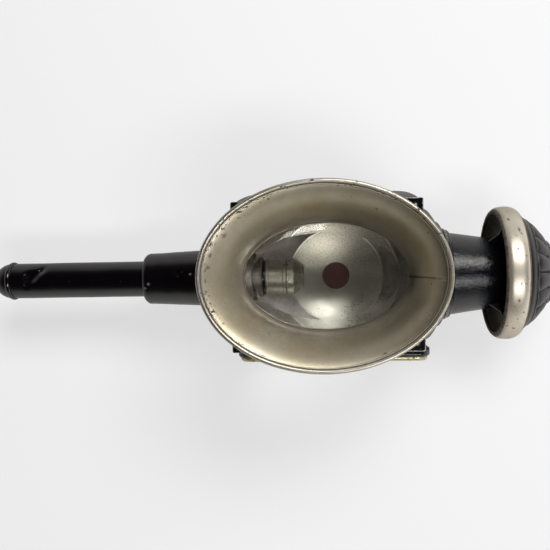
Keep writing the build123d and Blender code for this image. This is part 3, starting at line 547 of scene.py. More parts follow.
ruby = Mat("ruby_lens_glass")
ruby.set(Base_Color=ruby.mix(ruby.noise(90, 3, 0.5), (0.34, 0.165, 0.155), (0.27, 0.140, 0.135)), Transmission_Weight=0.35, IOR=1.52,
         Roughness=ruby.ranged(ruby.noise(400, 3, 0.6), 0.04, 0.10), Normal=ruby.bump(ruby.noise(160, 2, 0.5), 0.08, 0.0003))
RUBY = ruby.m


# ---------------------------------------------------------------- hood
HOOD = np.array([
    (60.0, 58.6, 37.9, -2.1), (71.0, 60.1, 39.5, -2.4), (81.0, 63.9, 43.4, -2.8), (88.0, 68.6, 48.2, -3.15), (93.0, 73.4, 53.1, -3.45),
    (96.0, 77.3, 57.0, -3.65), (97.7, 80.2, 60.0, -3.75), (98.6, 82.3, 62.1, -3.8),
])


def hood_line(n):
    """n sections along the bell: distance forward, the two half widths and the centre, evenly spaced on the sheet."""
    run = np.r_[0, np.cumsum(np.hypot(np.diff(HOOD[:, 0]), np.diff(HOOD[:, 1])))]
    q = np.linspace(0, run[-1], n)
    return [natural(run, HOOD[:, k], q) for k in range(4)]


def hood_bell():
    """The flared bell: hand-raised sheet with a soldered lap seam towards the chimney."""
    depth, qa, qb, qc = hood_line(66)
    near = np.array([-2.6, -1.7, -1.1, -0.75, -0.5, -0.3, -0.12, 0.0, 0.12, 0.3, 0.5, 0.75, 1.1, 1.7, 2.6]) / 48.0
    base = np.linspace(0, 2 * math.pi, 320, endpoint=False)
    base = base[np.abs(base - math.pi / 2) > 0.062]
    th = np.sort(np.r_[base, math.pi / 2 + near])
    t = np.linspace(0, 1, 66)
    side = np.r_[np.zeros(66), np.ones(66)]
    dd = np.r_[depth, depth[::-1]]
    tt = np.r_[t, t[::-1]]
    a, b, c = (np.r_[v, v[::-1]] for v in (qa, qb, qc))
    T = th[None, :] + np.zeros((132, 1))
    pull = np.exp(-((T - math.pi / 2) / 0.5) ** 2)
    T = T - (0.030 + 0.030 * tt[:, None]) * pull
    inner = (1 - side)[:, None]
    seam = (th[None, :] - math.pi / 2) * 48.0 + np.zeros_like(T)
    wave = 0.16 * ripple(np.cos(th)[None, :] * 3.0 + tt[:, None] * 1.0, np.sin(th)[None, :] * 3.0 + tt[:, None] * 2.2, 5)
    fade = np.clip(tt[:, None] * 6, 0, 1) * np.clip((1 - tt[:, None]) * 8, 0, 1)
    off = wave * fade * np.ones_like(T)
    groove = np.exp(-(seam / 0.42) ** 2)
    lap = 0.14 / (1 + np.exp(-seam / 0.12)) * np.exp(-np.clip(seam, 0, None) / 2.0)
    off = off + inner * (0.42 * groove - lap)
    for ang, at, deep, wide in ((2.35, 0.55, 0.30, 4.0), (5.3, 0.70, 0.22, 5.0), (0.62, 0.45, 0.28, 3.5), (3.9, 0.38, 0.18, 4.5), (1.25, 0.62, 0.35, 5.0)):
        ds = np.hypot((th[None, :] - ang) * 55, (tt[:, None] - at) * 39)
        off = off + deep * np.exp(-((ds / wide) ** 2)) * inner
    off = off - 0.55 * np.exp(-((dd[:, None] - dd.min()) / 0.45) ** 2) * inner
    aa = a[:, None] + off + side[:, None] * 1.0
    bb = b[:, None] + off + side[:, None] * 1.0
    X = bb * np.cos(T)
    Z = BZ + c[:, None] + aa * np.sin(T)
    Y = np.broadcast_to(-dd[:, None], X.shape)
    V = np.stack([X, Y, Z], -1)
    lip = np.exp(-((dd[:, None] - dd.min()) / 0.45) ** 2) * inner
    rootd = np.exp(-((dd[:, None] - dd.min() - 2.0) / 0.8) ** 2) * 0.8
    broken = 0.75 + 0.25 * ripple(tt[:, None] * 30, tt[:, None] * 11, 3, low=0.8, high=2)
    dirt = np.clip(inner * (np.exp(-(seam / 0.78) ** 2) * (1.6 - 0.55 * tt[:, None]) * broken + rootd), 0, 1)
    stain = 0.78 * np.exp(-((th[None, :] - math.pi / 2 + 0.10) / 0.34) ** 2) * np.exp(-(((tt[:, None]) - 0.20) / 0.17) ** 2)
    # painted shade: the bell is darker near its root all round, and more on the lower-left side (low), also towards the
    # middle
    low = 0.5 + 0.5 * np.clip(np.cos(T) * 0.8 - np.sin(T) * 0.6, -1, 1)
    out = ((b - b.min()) / (b.max() - b.min()))[:, None]
    painted_shade = (0.10 + 0.62 * low ** 2) * np.exp(-((out - 0.13) / 0.17) ** 2) + 0.34 * low ** 2 * np.exp(-((out - 0.55) / 0.32) ** 2)
    pitted = np.zeros_like(T)
    for ang, where, wide, tall in ((-120.2, 0.72, 1.5, 1.1), (-105, 0.80, 1.7, 0.9), (-97, 0.78, 1.3, 1.4), (-95, 0.84, 1.0, 0.9), (-88, 0.83, 1.6, 0.8),
                                   (-80, 0.88, 1.1, 0.8), (-112, 0.90, 1.4, 0.7), (150, 0.52, 1.0, 0.8), (118, 0.80, 1.0, 0.7), (62, 0.78, 1.2, 1.0),
                                   (30, 0.86, 1.3, 0.7), (-30, 0.93, 1.5, 0.7)):
        away = (T - math.radians(ang) + math.pi) % (2 * math.pi) - math.pi
        pitted = np.maximum(pitted, 1.5 * np.exp(-((away * 70 / wide) ** 2 + ((out - where) * 31 / tall) ** 2)))
    dirt = np.clip(dirt + inner * (stain + painted_shade + pitted) * (1 - lip), 0, 1)
    wear = np.exp(-((1 - tt[:, None]) / 0.13)) * np.ones_like(T) * (0.05 + 1.0 * np.clip(-np.sin(T) * 0.95 - np.cos(T) * 0.35, 0, 1) + 0.30 * np.clip(np.sin(T) * 0.8 - np.cos(T) * 0.6, 0, 1))
    faces = grid_faces(132, len(th), True, True).tolist()
    return build("nickel_hood_bell", V.reshape(-1, 3), faces, NICKEL, "lamp", ("hood_bell",), 40,
                 {"dirt": dirt, "wear": np.clip(wear, 0, 1)})


def hood_rim():
    """The edge rolled over a wire: a round bead, a groove and a fine inner line."""
    a, b, c = 82.5, 62.3, -3.8
    big = [(1.62 * math.cos(f), 1.62 * math.sin(f)) for f in np.radians(np.linspace(-118, 152, 26))]
    small = [(-2.05 + 0.52 * math.cos(f), -0.72 + 0.52 * math.sin(f)) for f in np.radians(np.linspace(38, 205, 12))]
    prof = np.array(big + small + [(-2.5, -1.45), (-1.7, -1.9), (-0.9, -1.95)])
    n = 420
    th = np.linspace(0, 2 * math.pi, n, endpoint=False)
    nx, nz = np.cos(th) / b, np.sin(th) / a
    k = np.hypot(nx, nz)
    nx, nz = nx / k, nz / k
    wob = 0.10 * ripple(np.cos(th) * 5, np.sin(th) * 5, 11)
    rings = []
    for u, v in prof:
        r = u + wob
        rings.append(np.c_[b * np.cos(th) + nx * r, np.full(n, -100.3) - v + 0.06 * np.sin(th * 3 + 1), BZ + c + a * np.sin(th) + nz * r])
    u = prof[:, 0]
    # darker in the groove and on the last rows of the profile; the outer side of the bead is darkened as painted shade
    dirt = np.zeros((len(prof), n))
    dirt[np.abs(u + 1.50) < 0.16] = 0.75
    dirt[-4:] = 0.5
    outer = np.clip((prof[:, 0] - 0.9) / 0.6, 0, 1) * np.clip(-prof[:, 1] / 0.8 + 0.5, 0, 1)
    dirt = np.clip(dirt + outer[:, None] * 0.25, 0, 1)
    wear = np.clip(np.clip(-np.sin(th) * 0.95 - np.cos(th) * 0.35, 0, 1) + 0.45 * np.clip(np.sin(th) * 0.8 - np.cos(th) * 0.6, 0, 1), 0, 1)
    wear = np.broadcast_to(wear * 0.9, dirt.shape)
    return loft("hood_rolled_rim", rings, RIM, "lamp", ("hood_rim",), True, {"dirt": dirt, "wear": wear}, 50)


hood_bell()
hood_rim()


def spots(X, Z, list_of):
    """Paint damage: soft marks at given places on the front, wider where given so."""
    out = np.zeros_like(X)
    for x, z, sx, sz, amount in list_of:
        out = np.maximum(out, amount * np.exp(-(((X - x) / sx) ** 2 + ((Z - z) / sz) ** 2)))
    return out


# ---------------------------------------------------------------- front glass
def front_glass():
    """A thick oval of plate glass with a wide ground bevel."""
    n = 220
    th = np.linspace(0, 2 * math.pi, n, endpoint=False)
    def ell(a, b, y):
        return np.c_[b * np.cos(th), np.full(n, y), BZ - 2.1 + a * np.sin(th)]
    ya = -58.5
    rings = [ell(61.4, 40.8, -55.5), ell(61.6, 41.0, -55.7), ell(61.6, 41.0, ya + 0.05), ell(61.4, 40.8, ya),
             ell(58.35, 37.65, ya), ell(58.25, 37.55, ya - 0.12)]
    for f in np.linspace(0.06, 0.97, 9):
        rings.append(ell(58.3 - 6.3 * f, 37.6 - 6.3 * f, ya - 2.6 * f))
    rings += [ell(58.3 - 6.3, 37.6 - 6.3, ya - 2.57), ell(58.3 - 6.75, 37.6 - 6.75, ya - 2.6)]
    return loft("bevelled_front_glass", rings, CLEAR, "lamp", ("front_glass",), False, None, 8)


front_glass()


# ---------------------------------------------------------------- reflector
def dish_profile(r0, r1, y0, y1, ymid, rmid, n):
    return arc3((r0, y0), (rmid, ymid), (r1, y1), n)


def reflector():
    face = arc3((11.5, REFL_YB), (26.0, REFL_YB - 2.93), (38.2, REFL_YR), 48)
    back = arc3((39.0, REFL_YR), (26.4, REFL_YB - 2.05), (11.5, REFL_YB + 0.9), 30)
    lip = np.array([(11.35, REFL_YB + 0.45), (11.36, REFL_YB + 0.15)])
    prof = np.vstack([face, [(38.6, REFL_YR - 0.2)], back, lip])

    def warp(T, R, H):
        w = 0.10 * ripple(R * np.cos(T) / 9, R * np.sin(T) / 9, 21) + 0.05 * ripple(R * np.cos(T) / 4, R * np.sin(T) / 4, 22)
        return R, H + w * np.clip((R - 11.5) / 4, 0, 1) * np.clip((39 - R) / 4, 0, 1)

    def field(T, R, H):
        x, z = R * np.cos(T), R * np.sin(T)
        upper = 1 / (1 + np.exp((x + 9.0) / 2.5))
        return {"tarnish": np.clip(0.95 * upper + 0.25 * np.exp(-(x / 14) ** 2) + 0.35 * np.exp(-((x - 17) / 5.0) ** 2) * np.exp(-((z + 14) / 12) ** 2), 0, 1)}

    revolve("reflector_dish", prof, SILVER, "lamp", ("reflector",), 240, True, "Y", (0, REFL_Z), warp, field, 50)
    bead = eased([(38.0, REFL_YR), (38.3, REFL_YR - 0.95), (39.3, REFL_YR - 1.05), (39.75, REFL_YR - 0.3), (39.6, REFL_YR + 0.05)], 0.35, 4)
    revolve("reflector_bead", bead, BEAD, "lamp", ("reflector_rim",), 240, True, "Y", (0, REFL_Z), None, None, 60)


reflector()


# ---------------------------------------------------------------- crown, neck and cap
def lobes(T, n, power=0.62, phase=0.0):
    """0 in the creases and 1 on the crowns of n gadroons."""
    return np.abs(np.sin((T + phase) * n / 2)) ** power


def crown():
    lip = [(52.3, 66.85), (52.45, 69.2), (52.25, 71.0), (51.6, 71.9)]
    tier1 = through([(51.6, 71.9), (50.6, 74.9), (48.2, 77.7), (45.0, 79.9), (42.9, 80.9)], 22)
    groove = [(42.3, 81.0), (42.0, 81.35)]
    tier2 = through([(42.0, 81.35), (41.0, 83.3), (38.9, 85.2), (36.4, 86.6), (34.9, 87.15)], 18)
    top = [(34.4, 87.2), (31.85, 87.2), (31.8, 86.5), (34.0, 86.1)]
    inside = through([(34.2, 86.0), (37.3, 83.6), (41.7, 79.9), (46.3, 76.7), (49.2, 73.8), (51.1, 70.9)], 12)
    prof = np.vstack([lip, tier1, groove, tier2, top, inside, [(51.2, 66.85)]])
    prof[:, 1] += BZ
    def mask(H):
        h = H - BZ
        one = np.clip((h - 71.7) / 2.2, 0, 1) * np.clip((80.9 - h) / 1.8, 0, 1)
        two = np.clip((h - 81.2) / 1.2, 0, 1) * np.clip((87.0 - h) / 1.6, 0, 1)
        return one, two
    outer = np.zeros(len(prof), bool)
    outer[: 4 + 22 + 2 + 18] = True

    def warp(T, R, H):
        one, two = mask(H)
        o = outer[:, None]
        R = R - o * one * 1.9 * (1 - lobes(T, 22)) - o * two * 1.3 * (1 - lobes(T, 22, 0.62, math.pi / 22))
        H = H - o * one * 0.9 * (1 - lobes(T, 22)) - o * two * 0.5 * (1 - lobes(T, 22, 0.62, math.pi / 22))
        return R + 0.10 * ripple(T * 3, H / 4, 31), H

    def field(T, R, H):
        one, two = mask(H)
        o = outer[:, None]
        w = o * (one * lobes(T, 22) ** 6 + two * lobes(T, 22, 0.62, math.pi / 22) ** 6) * 0.32
        edge = np.exp(-(((H - BZ) - 71.2) / 0.5) ** 2) * 0.75 + np.exp(-(((H - BZ) - 86.9) / 0.4) ** 2) * 0.6
        return {"wear": np.clip(w + edge * o, 0, 1)}

    revolve("gadrooned_crown", prof, BLACK, "lamp", ("crown",), 528, True, "Z", (0, 0), warp, field, 55)


def neck():
    z = np.linspace(NECK_Z0, NECK_Z1, 70)
    out = np.c_[neck_r(z), z]
    inn = np.c_[neck_r(z[::-1]) - 1.1, z[::-1]]
    out[-1, 0] -= 0.15
    inn[0, 0] += 0.15
    prof = np.vstack([out, [(neck_r(NECK_Z1) - 0.55, NECK_Z1 + 0.12)], inn])

    def warp(T, R, H):
        return R + 0.09 * ripple(T * 2, H / 9, 41), H

    def field(T, R, H):
        return {"wear": np.clip(np.exp(-((H - NECK_Z1) / 0.5) ** 2) * 0.8, 0, 1) * np.ones_like(T)}

    revolve("chimney_neck", prof, BLACK_ROUGH, "lamp", ("neck",), 288, True, "Z", (0, 0), warp, field, 50)
    collar = eased([(NECK_R0 - 0.1, NECK_Z0), (35.1, NECK_Z0), (35.5, NECK_Z0 + 0.7), (35.35, NECK_Z0 + 1.7), (34.6, NECK_Z0 + 2.6),
                    (34.2, NECK_Z0 + 3.0), (34.3, NECK_Z0 + 4.0), (33.6, NECK_Z0 + 4.9), (neck_r(NECK_Z0 + 5) - 0.1, NECK_Z0 + 5.1)], 0.5, 4)

    def edge(T, R, H):
        return {"wear": np.clip(np.exp(-((R - 35.4) / 0.35) ** 2) * 0.62 + np.exp(-((H - NECK_Z0 - 4.3) / 0.5) ** 2) * np.exp(-((R - 34.2) / 0.4) ** 2) * 0.55, 0, 1)}

    revolve("neck_base_collar", finer(collar, 0.35), BLACK, "lamp", ("neck_collar",), 256, True, "Z", (0, 0), None, edge, 55)


def cap():
    z0, zm, z1 = BZ + 126.2, BZ + 136.4, BZ + 144.5
    outer = through([(48.35, z0 + 0.2), (50.2, z0 + 2.4), (51.1, z0 + 6.4), (51.2, zm), (50.2, z0 + 14.2), (47.9, z0 + 17.0), (44.8, z1 - 0.05)], 46)
    inner = through([(43.5, z1 - 0.9), (46.9, z0 + 16.0), (49.0, z0 + 13.5), (50.0, z0 + 10.2), (49.9, z0 + 6.5), (49.1, z0 + 3.2), (47.7, z0 + 1.4)], 40)
    lipside = np.array([(47.2, z0 + 1.05), (46.1, z0 + 0.95), (45.85, z0 + 0.5), (46.1, z0 + 0.06), (47.4, z0), (48.0, z0 + 0.02)])
    prof = np.vstack([outer, [(44.5, z1 + 0.02)], inner, lipside])

    def warp(T, R, H):
        return R + 0.12 * ripple(T * 2.0, H / 8, 51), H + 0.10 * ripple(T * 2.0, T * 1.0, 52) * np.clip(1 - (H - z0) / 4, 0, 1)

    lipmask = np.zeros(len(prof))
    lipmask[46 + 1 + 30:] = 0.85
    lipmask[-3:] = (0.9, 0.8, 0.7)
    lipmask[47:47 + 30] = 1.0

    def field(T, R, H):
        uneven = 0.75 + 0.35 * ripple(T * 4, T * 2, 53)
        top = np.clip((H - (z1 - 2.7)) / 0.7, 0, 1) * 1.1
        foot = np.clip(((z0 + 1.7) - H) / 0.8, 0, 1) * 1.9 + np.clip(((z0 + 3.4) - H) / 1.2, 0, 1) * 0.25
        marks = spots(R * np.cos(T), H - BZ, [(-39.0, 131.4, 0.9, 0.7, 1.4), (-31.0, 137.0, 1.5, 0.8, 1.3), (-28.0, 138.2, 0.7, 0.7, 1.2), (-12.0, 139.6, 0.6, 0.6, 1.4),
                                                (-17.0, 134.0, 0.7, 0.6, 1.1), (20.0, 134.6, 0.9, 0.8, 1.5), (24.0, 131.8, 0.6, 0.5, 1.2), (8.0, 138.6, 0.5, 0.6, 1.1)]) * (R > 49.5) * (np.sin(T) < 0)
        return {"dirt": np.clip(lipmask[:, None] * uneven + top + foot * uneven + marks, 0, 1), "wear": 0.18 + 0.12 * ripple(T * 3, H / 5, 54)}

    revolve("cap_nickel_band", prof, NICKEL_BAND, "lamp", ("cap_band",), 320, True, "Z", (0, 0), warp, field, 50)

    t0, t1 = z1, z1 + 6.0
    tier = np.vstack([
        through([(44.75, t0 + 0.1), (44.2, t0 + 1.6), (42.9, t0 + 3.3), (41.3, t0 + 5.0)], 14),
        [(41.15, t0 + 5.5), (41.35, t0 + 5.9), (41.0, t0 + 6.35), (40.3, t0 + 6.4)],
        [(39.4, t0 + 6.0)], through([(39.4, t0 + 5.6), (41.3, t0 + 2.4), (43.4, t0 - 0.7)], 8), [(44.0, t0 - 0.4)],
    ])

    def tierfield(T, R, H):
        return {"wear": np.clip(np.exp(-((H - (t0 + 6.1)) / 0.45) ** 2) * 0.72 + np.exp(-((H - t0) / 0.4) ** 2) * 0.3, 0, 1) * np.ones_like(T)}

    revolve("cap_plain_tier", tier, BLACK_CAST, "lamp", ("cap_tier",), 288, True, "Z", (0, 0), None, tierfield, 50)

    # two rows of petals that draw in towards the button
    a = through([(40.15, 150.6), (39.2, 153.0), (36.0, 157.0), (31.6, 160.8), (27.6, 163.3)], 34)
    step = np.array([(26.9, 163.5), (26.4, 163.9)])
    b = through([(26.4, 163.9), (24.9, 166.2), (20.9, 169.2), (15.6, 172.3), (10.4, 175.2), (7.2, 177.2)], 34)
    end = np.array([(5.9, 178.3), (3.1, 178.4), (3.1, 177.2), (5.4, 177.0)])
    inside = through([(5.4, 177.0), (9.6, 173.6), (16.0, 169.0), (25.4, 162.0), (34.0, 155.0), (38.6, 150.55)], 20)
    prof = np.vstack([a, step, b, end, inside])
    prof[:, 1] += BZ
    k = 34 + 2 + 34
    outer_rows = np.zeros(len(prof), bool)
    outer_rows[:k] = True
    N = 16

    def petals(T, R, H):
        h = H - BZ
        one = np.clip((h - 150.4) / 2.2, 0, 1) * np.clip((163.6 - h) / 2.2, 0, 1)
        two = np.clip((h - 163.8) / 1.6, 0, 1) * np.clip((177.5 - h) / 5.0, 0, 1)
        return one, two

    def warp(T, R, H):
        one, two = petals(T, R, H)
        o = outer_rows[:, None]
        la, lb = lobes(T, N, 0.55), lobes(T, N, 0.55, math.pi / N)
        cut = o * (one * 2.5 * (1 - la) + two * 2.2 * np.clip(R / 22, 0.2, 1) * (1 - lb))
        return R - cut * 0.62, H - cut * 0.78

    def field(T, R, H):
        one, two = petals(T, R, H)
        o = outer_rows[:, None]
        la, lb = lobes(T, N, 0.55), lobes(T, N, 0.55, math.pi / N)
        ridge = one * np.exp(-(((1 - la)) / 0.10) ** 2) * 0.0 + one * np.exp(-((la - 0.30) / 0.16) ** 2) * 0.50 + two * np.exp(-((lb - 0.30) / 0.16) ** 2) * 0.50
        edges = np.exp(-(((H - BZ) - 163.3) / 0.55) ** 2) * 0.62
        return {"wear": np.clip(o * (ridge + edges), 0, 1)}

    revolve("gadrooned_cap_dome", prof, BLACK_CAST, "lamp", ("cap_dome",), 512, True, "Z", (0, 0), warp, field, 55)
    btn = np.vstack([[(0, 175.7), (4.5, 175.7), (4.6, 177.1), (3.05, 177.2), (3.05, 178.4), (5.0, 178.4), (5.6, 178.8), (5.6, 179.3), (4.5, 179.7), (3.9, 180.0)],
                     arc3((3.9, 180.0), (5.15, 182.0), (3.6, 184.3), 14), arc3((3.6, 184.3), (2.0, 185.05), (0.0, 185.2), 8)])
    btn[:, 1] += BZ
    revolve("cap_finial_button", btn, BLACK_CAST, "lamp", ("cap_button",), 96, False, "Z", (0, 0), None,
            lambda T, R, H: {"wear": np.clip(np.exp(-((R - 5.3) / 0.35) ** 2) * 0.45, 0, 1)}, 50)


crown()
neck()
cap()


# ---------------------------------------------------------------- stem and candle tube
def stem():
    s = 22.0
    prof = [(20.0, STEM_TOP), (21.4, STEM_TOP), (21.4, s / 2 + 1.0), (23.0, s / 2), (23.0, -s / 2), (22.1, -s / 2 - 1.0), (20.2, STEM_END + 6.0)]
    out = eased(prof, 0.4, 3, closed=False)
    end = arc3((20.2, STEM_END + 6.0), (19.0, STEM_END + 1.6), (15.9, STEM_END), 12)[1:]
    rest = np.array([(15.3, STEM_END), (15.0, STEM_END + 0.3), (15.0, STEM_END + 2.0), (17.4, STEM_END + 3.4), (18.7, STEM_END + 7.0), (20.7, -s / 2 - 1.0),
                     (21.6, -s / 2 + 1.0), (21.6, s / 2 - 2.0), (20.0, s / 2)])
    prof = finer(np.vstack([out, end, rest]), 0.8)

    def warp(T, R, H):
        free = np.clip(np.abs(H) - 12.5, 0, 1) * (R > 18.9)
        return R + 0.10 * ripple(T * 2, H / 7, 61) * free, H

    def field(T, R, H):
        X, Y = R * np.cos(T), R * np.sin(T)
        front = (Y < 0)
        h = H - BZ
        marks = spots(X, h, [(4.2, -140.2, 1.7, 1.5, 1.0), (7.4, -143.2, 1.2, 1.6, 0.95), (-1.6, -117.0, 0.8, 0.9, 0.8), (-5.0, -113.5, 0.7, 0.8, 0.7),
                             (-3.0, -107.0, 1.3, 1.5, 1.0), (-6.5, -120.0, 0.6, 0.6, 0.6), (3.0, -111.0, 0.5, 0.5, 0.6)]) * front
        edge = np.exp(-((h + 141.5) / 1.2) ** 2) * (R > 19) * 0.30 + np.exp(-((h + 146.6) / 0.5) ** 2) * 0.45
        return {"chip": marks, "wear": np.clip(edge, 0, 1) * np.ones_like(T)}

    revolve("stem_socket", prof, BLACK_TUBE, "lamp", ("stem",), 300, True, "Z", (0, 0), warp, field, 40)


def candle_tube():
    z = np.r_[np.linspace(TUBE_Z0, BZ - 205, 90), np.linspace(BZ - 204, TUBE_Z1, 110)]
    out = np.c_[np.full(len(z), TUBE_R), z]
    inn = np.c_[np.full(110, TUBE_R - 1.0), np.r_[np.linspace(TUBE_Z1, BZ - 204, 30), np.linspace(BZ - 205, TUBE_Z0, 80)]]
    out[0, 0] -= 0.15
    out[-1, 0] -= 0.15
    prof = np.vstack([out, inn])

    def warp(T, R, H):
        X, Y = R * np.cos(T), R * np.sin(T)
        h = H - BZ
        facing = np.clip(-Y / TUBE_R * 1.6, 0, 1)
        # a scooped dent near the far end, running up and inwards, with a smaller one beside it
        u = (h + 237.6) * 0.765 - (X + 2.2) * 0.644
        v = (h + 237.6) * 0.644 + (X + 2.2) * 0.765
        dent = -2.6 * np.exp(-((u / 6.8) ** 2 + (v / 4.4) ** 2))
        u2 = (h + 229.5) * 0.765 - (X + 8.6) * 0.644
        v2 = (h + 229.5) * 0.644 + (X + 8.6) * 0.765
        dent = dent - 1.5 * np.exp(-((u2 / 3.6) ** 2 + (v2 / 2.6) ** 2)) + 0.25 * np.exp(-(((v - 6.0) / 2.2) ** 2 + (u / 7) ** 2))
        clear = np.clip((h + 245.4) / 4.2, 0, 1)
        dent = dent * clear * clear * (3 - 2 * clear)
        bend = 0.10 * ripple(T * 2, H / 14, 71) * (R > TUBE_R - 0.5)
        return R + np.maximum(facing * dent, -2.7) + bend * np.clip((h + 255) / 6, 0, 1) * np.clip((-60 - h) / 10, 0, 1), H

    def field(T, R, H):
        X, Y = R * np.cos(T), R * np.sin(T)
        h = H - BZ
        front = Y < 0
        marks = spots(X, h, [(1.2, -205.4, 0.5, 1.0, 0.6), (1.6, -164.0, 0.5, 1.7, 0.62), (1.4, -160.0, 0.8, 0.8, 0.55),
                             (11.6, -213.0, 0.5, 1.8, 0.6), (10.5, -190.0, 0.4, 2.6, 0.5)]) * front
        return {"chip": marks, "wear": np.exp(-((h + 254.8) / 0.5) ** 2) * 0.3 * np.ones_like(T)}

    revolve("candle_tube_shell", prof, BLACK_TUBE, "candle_tube", ("candle_tube",), 240, True, "Z", (0, 0), warp, field, 50)


def end_cap():
    prof = np.vstack([
        eased([(0, BZ - 245.0), (12.9, BZ - 245.0), (12.9, BZ - 255.2), (14.2, BZ - 255.3)], 0.35, 3, closed=False),
        arc3((14.5, BZ - 255.4), (15.35, BZ - 257.0), (14.6, BZ - 258.7), 12),
        [(14.15, BZ - 259.1), (14.1, BZ - 259.6)],
        arc3((14.1, BZ - 259.6), (12.1, BZ - 265.3), (8.2, BZ - 269.7), 18),
        [(7.7, BZ - 269.9), (7.5, BZ - 270.35)],
        arc3((7.5, BZ - 270.35), (4.8, BZ - 272.15), (0.0, BZ - 272.8), 12),
    ])

    def field(T, R, H):
        h = H - BZ
        return {"wear": np.clip(np.exp(-((R - 15.3) / 0.22) ** 2) * 0.45 + np.exp(-((h + 259.9) / 0.4) ** 2) * 0.35 + np.exp(-((h + 270.6) / 0.35) ** 2) * 0.5, 0, 1)}

    revolve("tube_end_cap_turned", prof, BLACK_TUBE, "end_cap", ("tube_end_cap",), 200, False, "Z", (0, 0),
            lambda T, R, H: (R + 0.07 * ripple(T * 2, H / 3, 81) * (R > 5), H), field, 45)


def nozzle():
    z = BZ
    collar = eased([(12.2, z - 57.0), (13.15, z - 57.0), (13.15, z - 50.0), (13.9, z - 50.0), (14.35, z - 49.3), (14.35, z - 48.2), (13.9, z - 47.5),
                    (13.9, z - 36.4), (14.25, z - 35.8), (14.25, z - 34.3), (13.9, z - 33.5), (12.9, z - 33.5), (12.9, z - 28.6), (12.2, z - 28.6)], 0.3, 4)

    def dirty(T, R, H):
        h = H - BZ
        return {"dirt": np.clip(np.exp(-((h + 33.6) / 0.35) ** 2) * 0.8 + np.exp(-((h + 47.3) / 0.35) ** 2) * 0.5 + np.exp(-((h + 50.0) / 0.4) ** 2) * 0.6, 0, 1) * (R > 13.4),
                "wear": 0.35 + 0.0 * T}

    revolve("nozzle_collar_turned", finer(collar, 0.5), NICKEL_DULL, "candle_tube", ("nozzle_collar",), 160, True, "Z", (0, 0),
            lambda T, R, H: (R + 0.05 * ripple(T * 2, H / 4, 91), H), dirty, 45)
    cap = eased([(13.2, z - 33.2), (14.6, z - 33.2), (14.85, z - 32.6), (14.85, z - 31.8), (14.55, z - 31.2), (14.55, z - 28.0), (9.5, z - 20.5), (8.9, z - 20.05),
                 (8.4, z - 20.3), (8.4, z - 21.2), (12.5, z - 27.4), (12.6, z - 28.3), (13.2, z - 28.4), (13.2, z - 30.0), (13.9, z - 30.0),
                 (13.9, z - 32.0), (13.2, z - 32.0)], [0.25] * 5 + [0.9, 0.4, 0.25, 0.25, 0.25] + [0.2] * 7, 4)

    def soot(T, R, H):
        h = H - BZ
        return {"dirt": np.clip(np.exp(-((h + 20.2) / 0.7) ** 2) * 0.65 + (R < 8.45) * 0.9 + np.exp(-((h + 33.2) / 0.3) ** 2) * 0.6, 0, 1) * np.ones_like(T), "wear": 0.45 + 0.0 * T}

    revolve("nozzle_cap_turned", finer(cap, 0.5), NICKEL_DULL, "nozzle", ("nozzle_cap",), 160, True, "Z", (0, 0),
            lambda T, R, H: (R + 0.05 * ripple(T * 2, H / 3, 92), H), soot, 45)


stem()
candle_tube()
end_cap()
nozzle()


# ---------------------------------------------------------------- bowed side panel
def side_panel():
    """The blank side: one sheet pressed into a soft pillow with a flat edge."""
    ny, nz = 120, 150
    y = np.linspace(-57.8, 47.0, ny)
    z = np.linspace(BZ - 67.0, BZ + 65.2, nz)
    Y, Z = np.meshgrid(y, z, indexing="xy")
    yc, half = -5.4, 52.4
    bow = 11.2 * (1 - ((Y - yc) / half) ** 2)
    zz = np.array([-67.0, -62.6, -53.0, -25.0, 3.0, 32.0, 52.5, 61.4, 65.2])
    hh = np.array([0.0, 6.4, 9.7, 11.2, 11.4, 11.2, 10.0, 6.6, 0.0])
    prof = np.interp(Z - BZ, np.linspace(-67, 65.2, 400), np.interp(np.linspace(-67, 65.2, 400), zz, hh))
    k = np.ones(31) / 31
    fine = np.interp(np.linspace(-67, 65.2, 400), zz, hh)
    fine = np.convolve(np.pad(fine, 15, mode="reflect", reflect_type="odd"), k, "valid")
    prof = np.clip(np.interp(Z - BZ, np.linspace(-67, 65.2, 400), fine), 0, None)
    s = 0.9
    bow = np.clip(bow, 0, None)
    h = -s * np.log(np.exp(-bow / s) + np.exp(-prof / s))
    h = np.clip(h, 0.0, None)
    edge = np.minimum(np.minimum(Y + 57.8, 47.0 - Y), np.minimum(Z - (BZ - 67.0), BZ + 65.2 - Z))
    h = np.maximum(h, 0.0) * np.clip(edge / 2.0, 0, 1) ** 0.5 + np.clip(edge / 0.5, 0, 1) * 0.9
    h = h + 0.12 * ripple(Y / 15, Z / 15, 101) * np.clip(edge / 8, 0, 1)
    h = h - 0.5 * np.exp(-(((Y + 22) / 7) ** 2 + ((Z - BZ - 30) / 9) ** 2)) - 0.4 * np.exp(-(((Y - 18) / 8) ** 2 + ((Z - BZ + 34) / 7) ** 2))
    h = np.minimum(h, 11.35)
    front = np.stack([-(52.85 + h), Y, Z], -1).reshape(-1, 3)
    back = np.stack([np.full_like(h, -52.82), Y, Z], -1).reshape(-1, 3)
    faces = grid_faces(nz, ny, False, False)
    m = nz * ny
    all_faces = faces.tolist() + [f[::-1] for f in (faces + m).tolist()]
    ring = [j for j in range(ny)] + [i * ny + ny - 1 for i in range(1, nz)] + [(nz - 1) * ny + j for j in range(ny - 2, -1, -1)] + [i * ny for i in range(nz - 2, 0, -1)]
    for a, b in zip(ring, ring[1:] + ring[:1]):
        all_faces.append([b, a, a + m, b + m])
    wear = np.clip(np.exp(-(edge / 0.9)) * 0.8, 0, 1)
    wear = np.r_[wear.reshape(-1), np.zeros(m)]
    build("bowed_side_panel", np.vstack([front, back]), all_faces, BLACK, "lamp", ("side_panel",), 50, {"wear": wear})


side_panel()


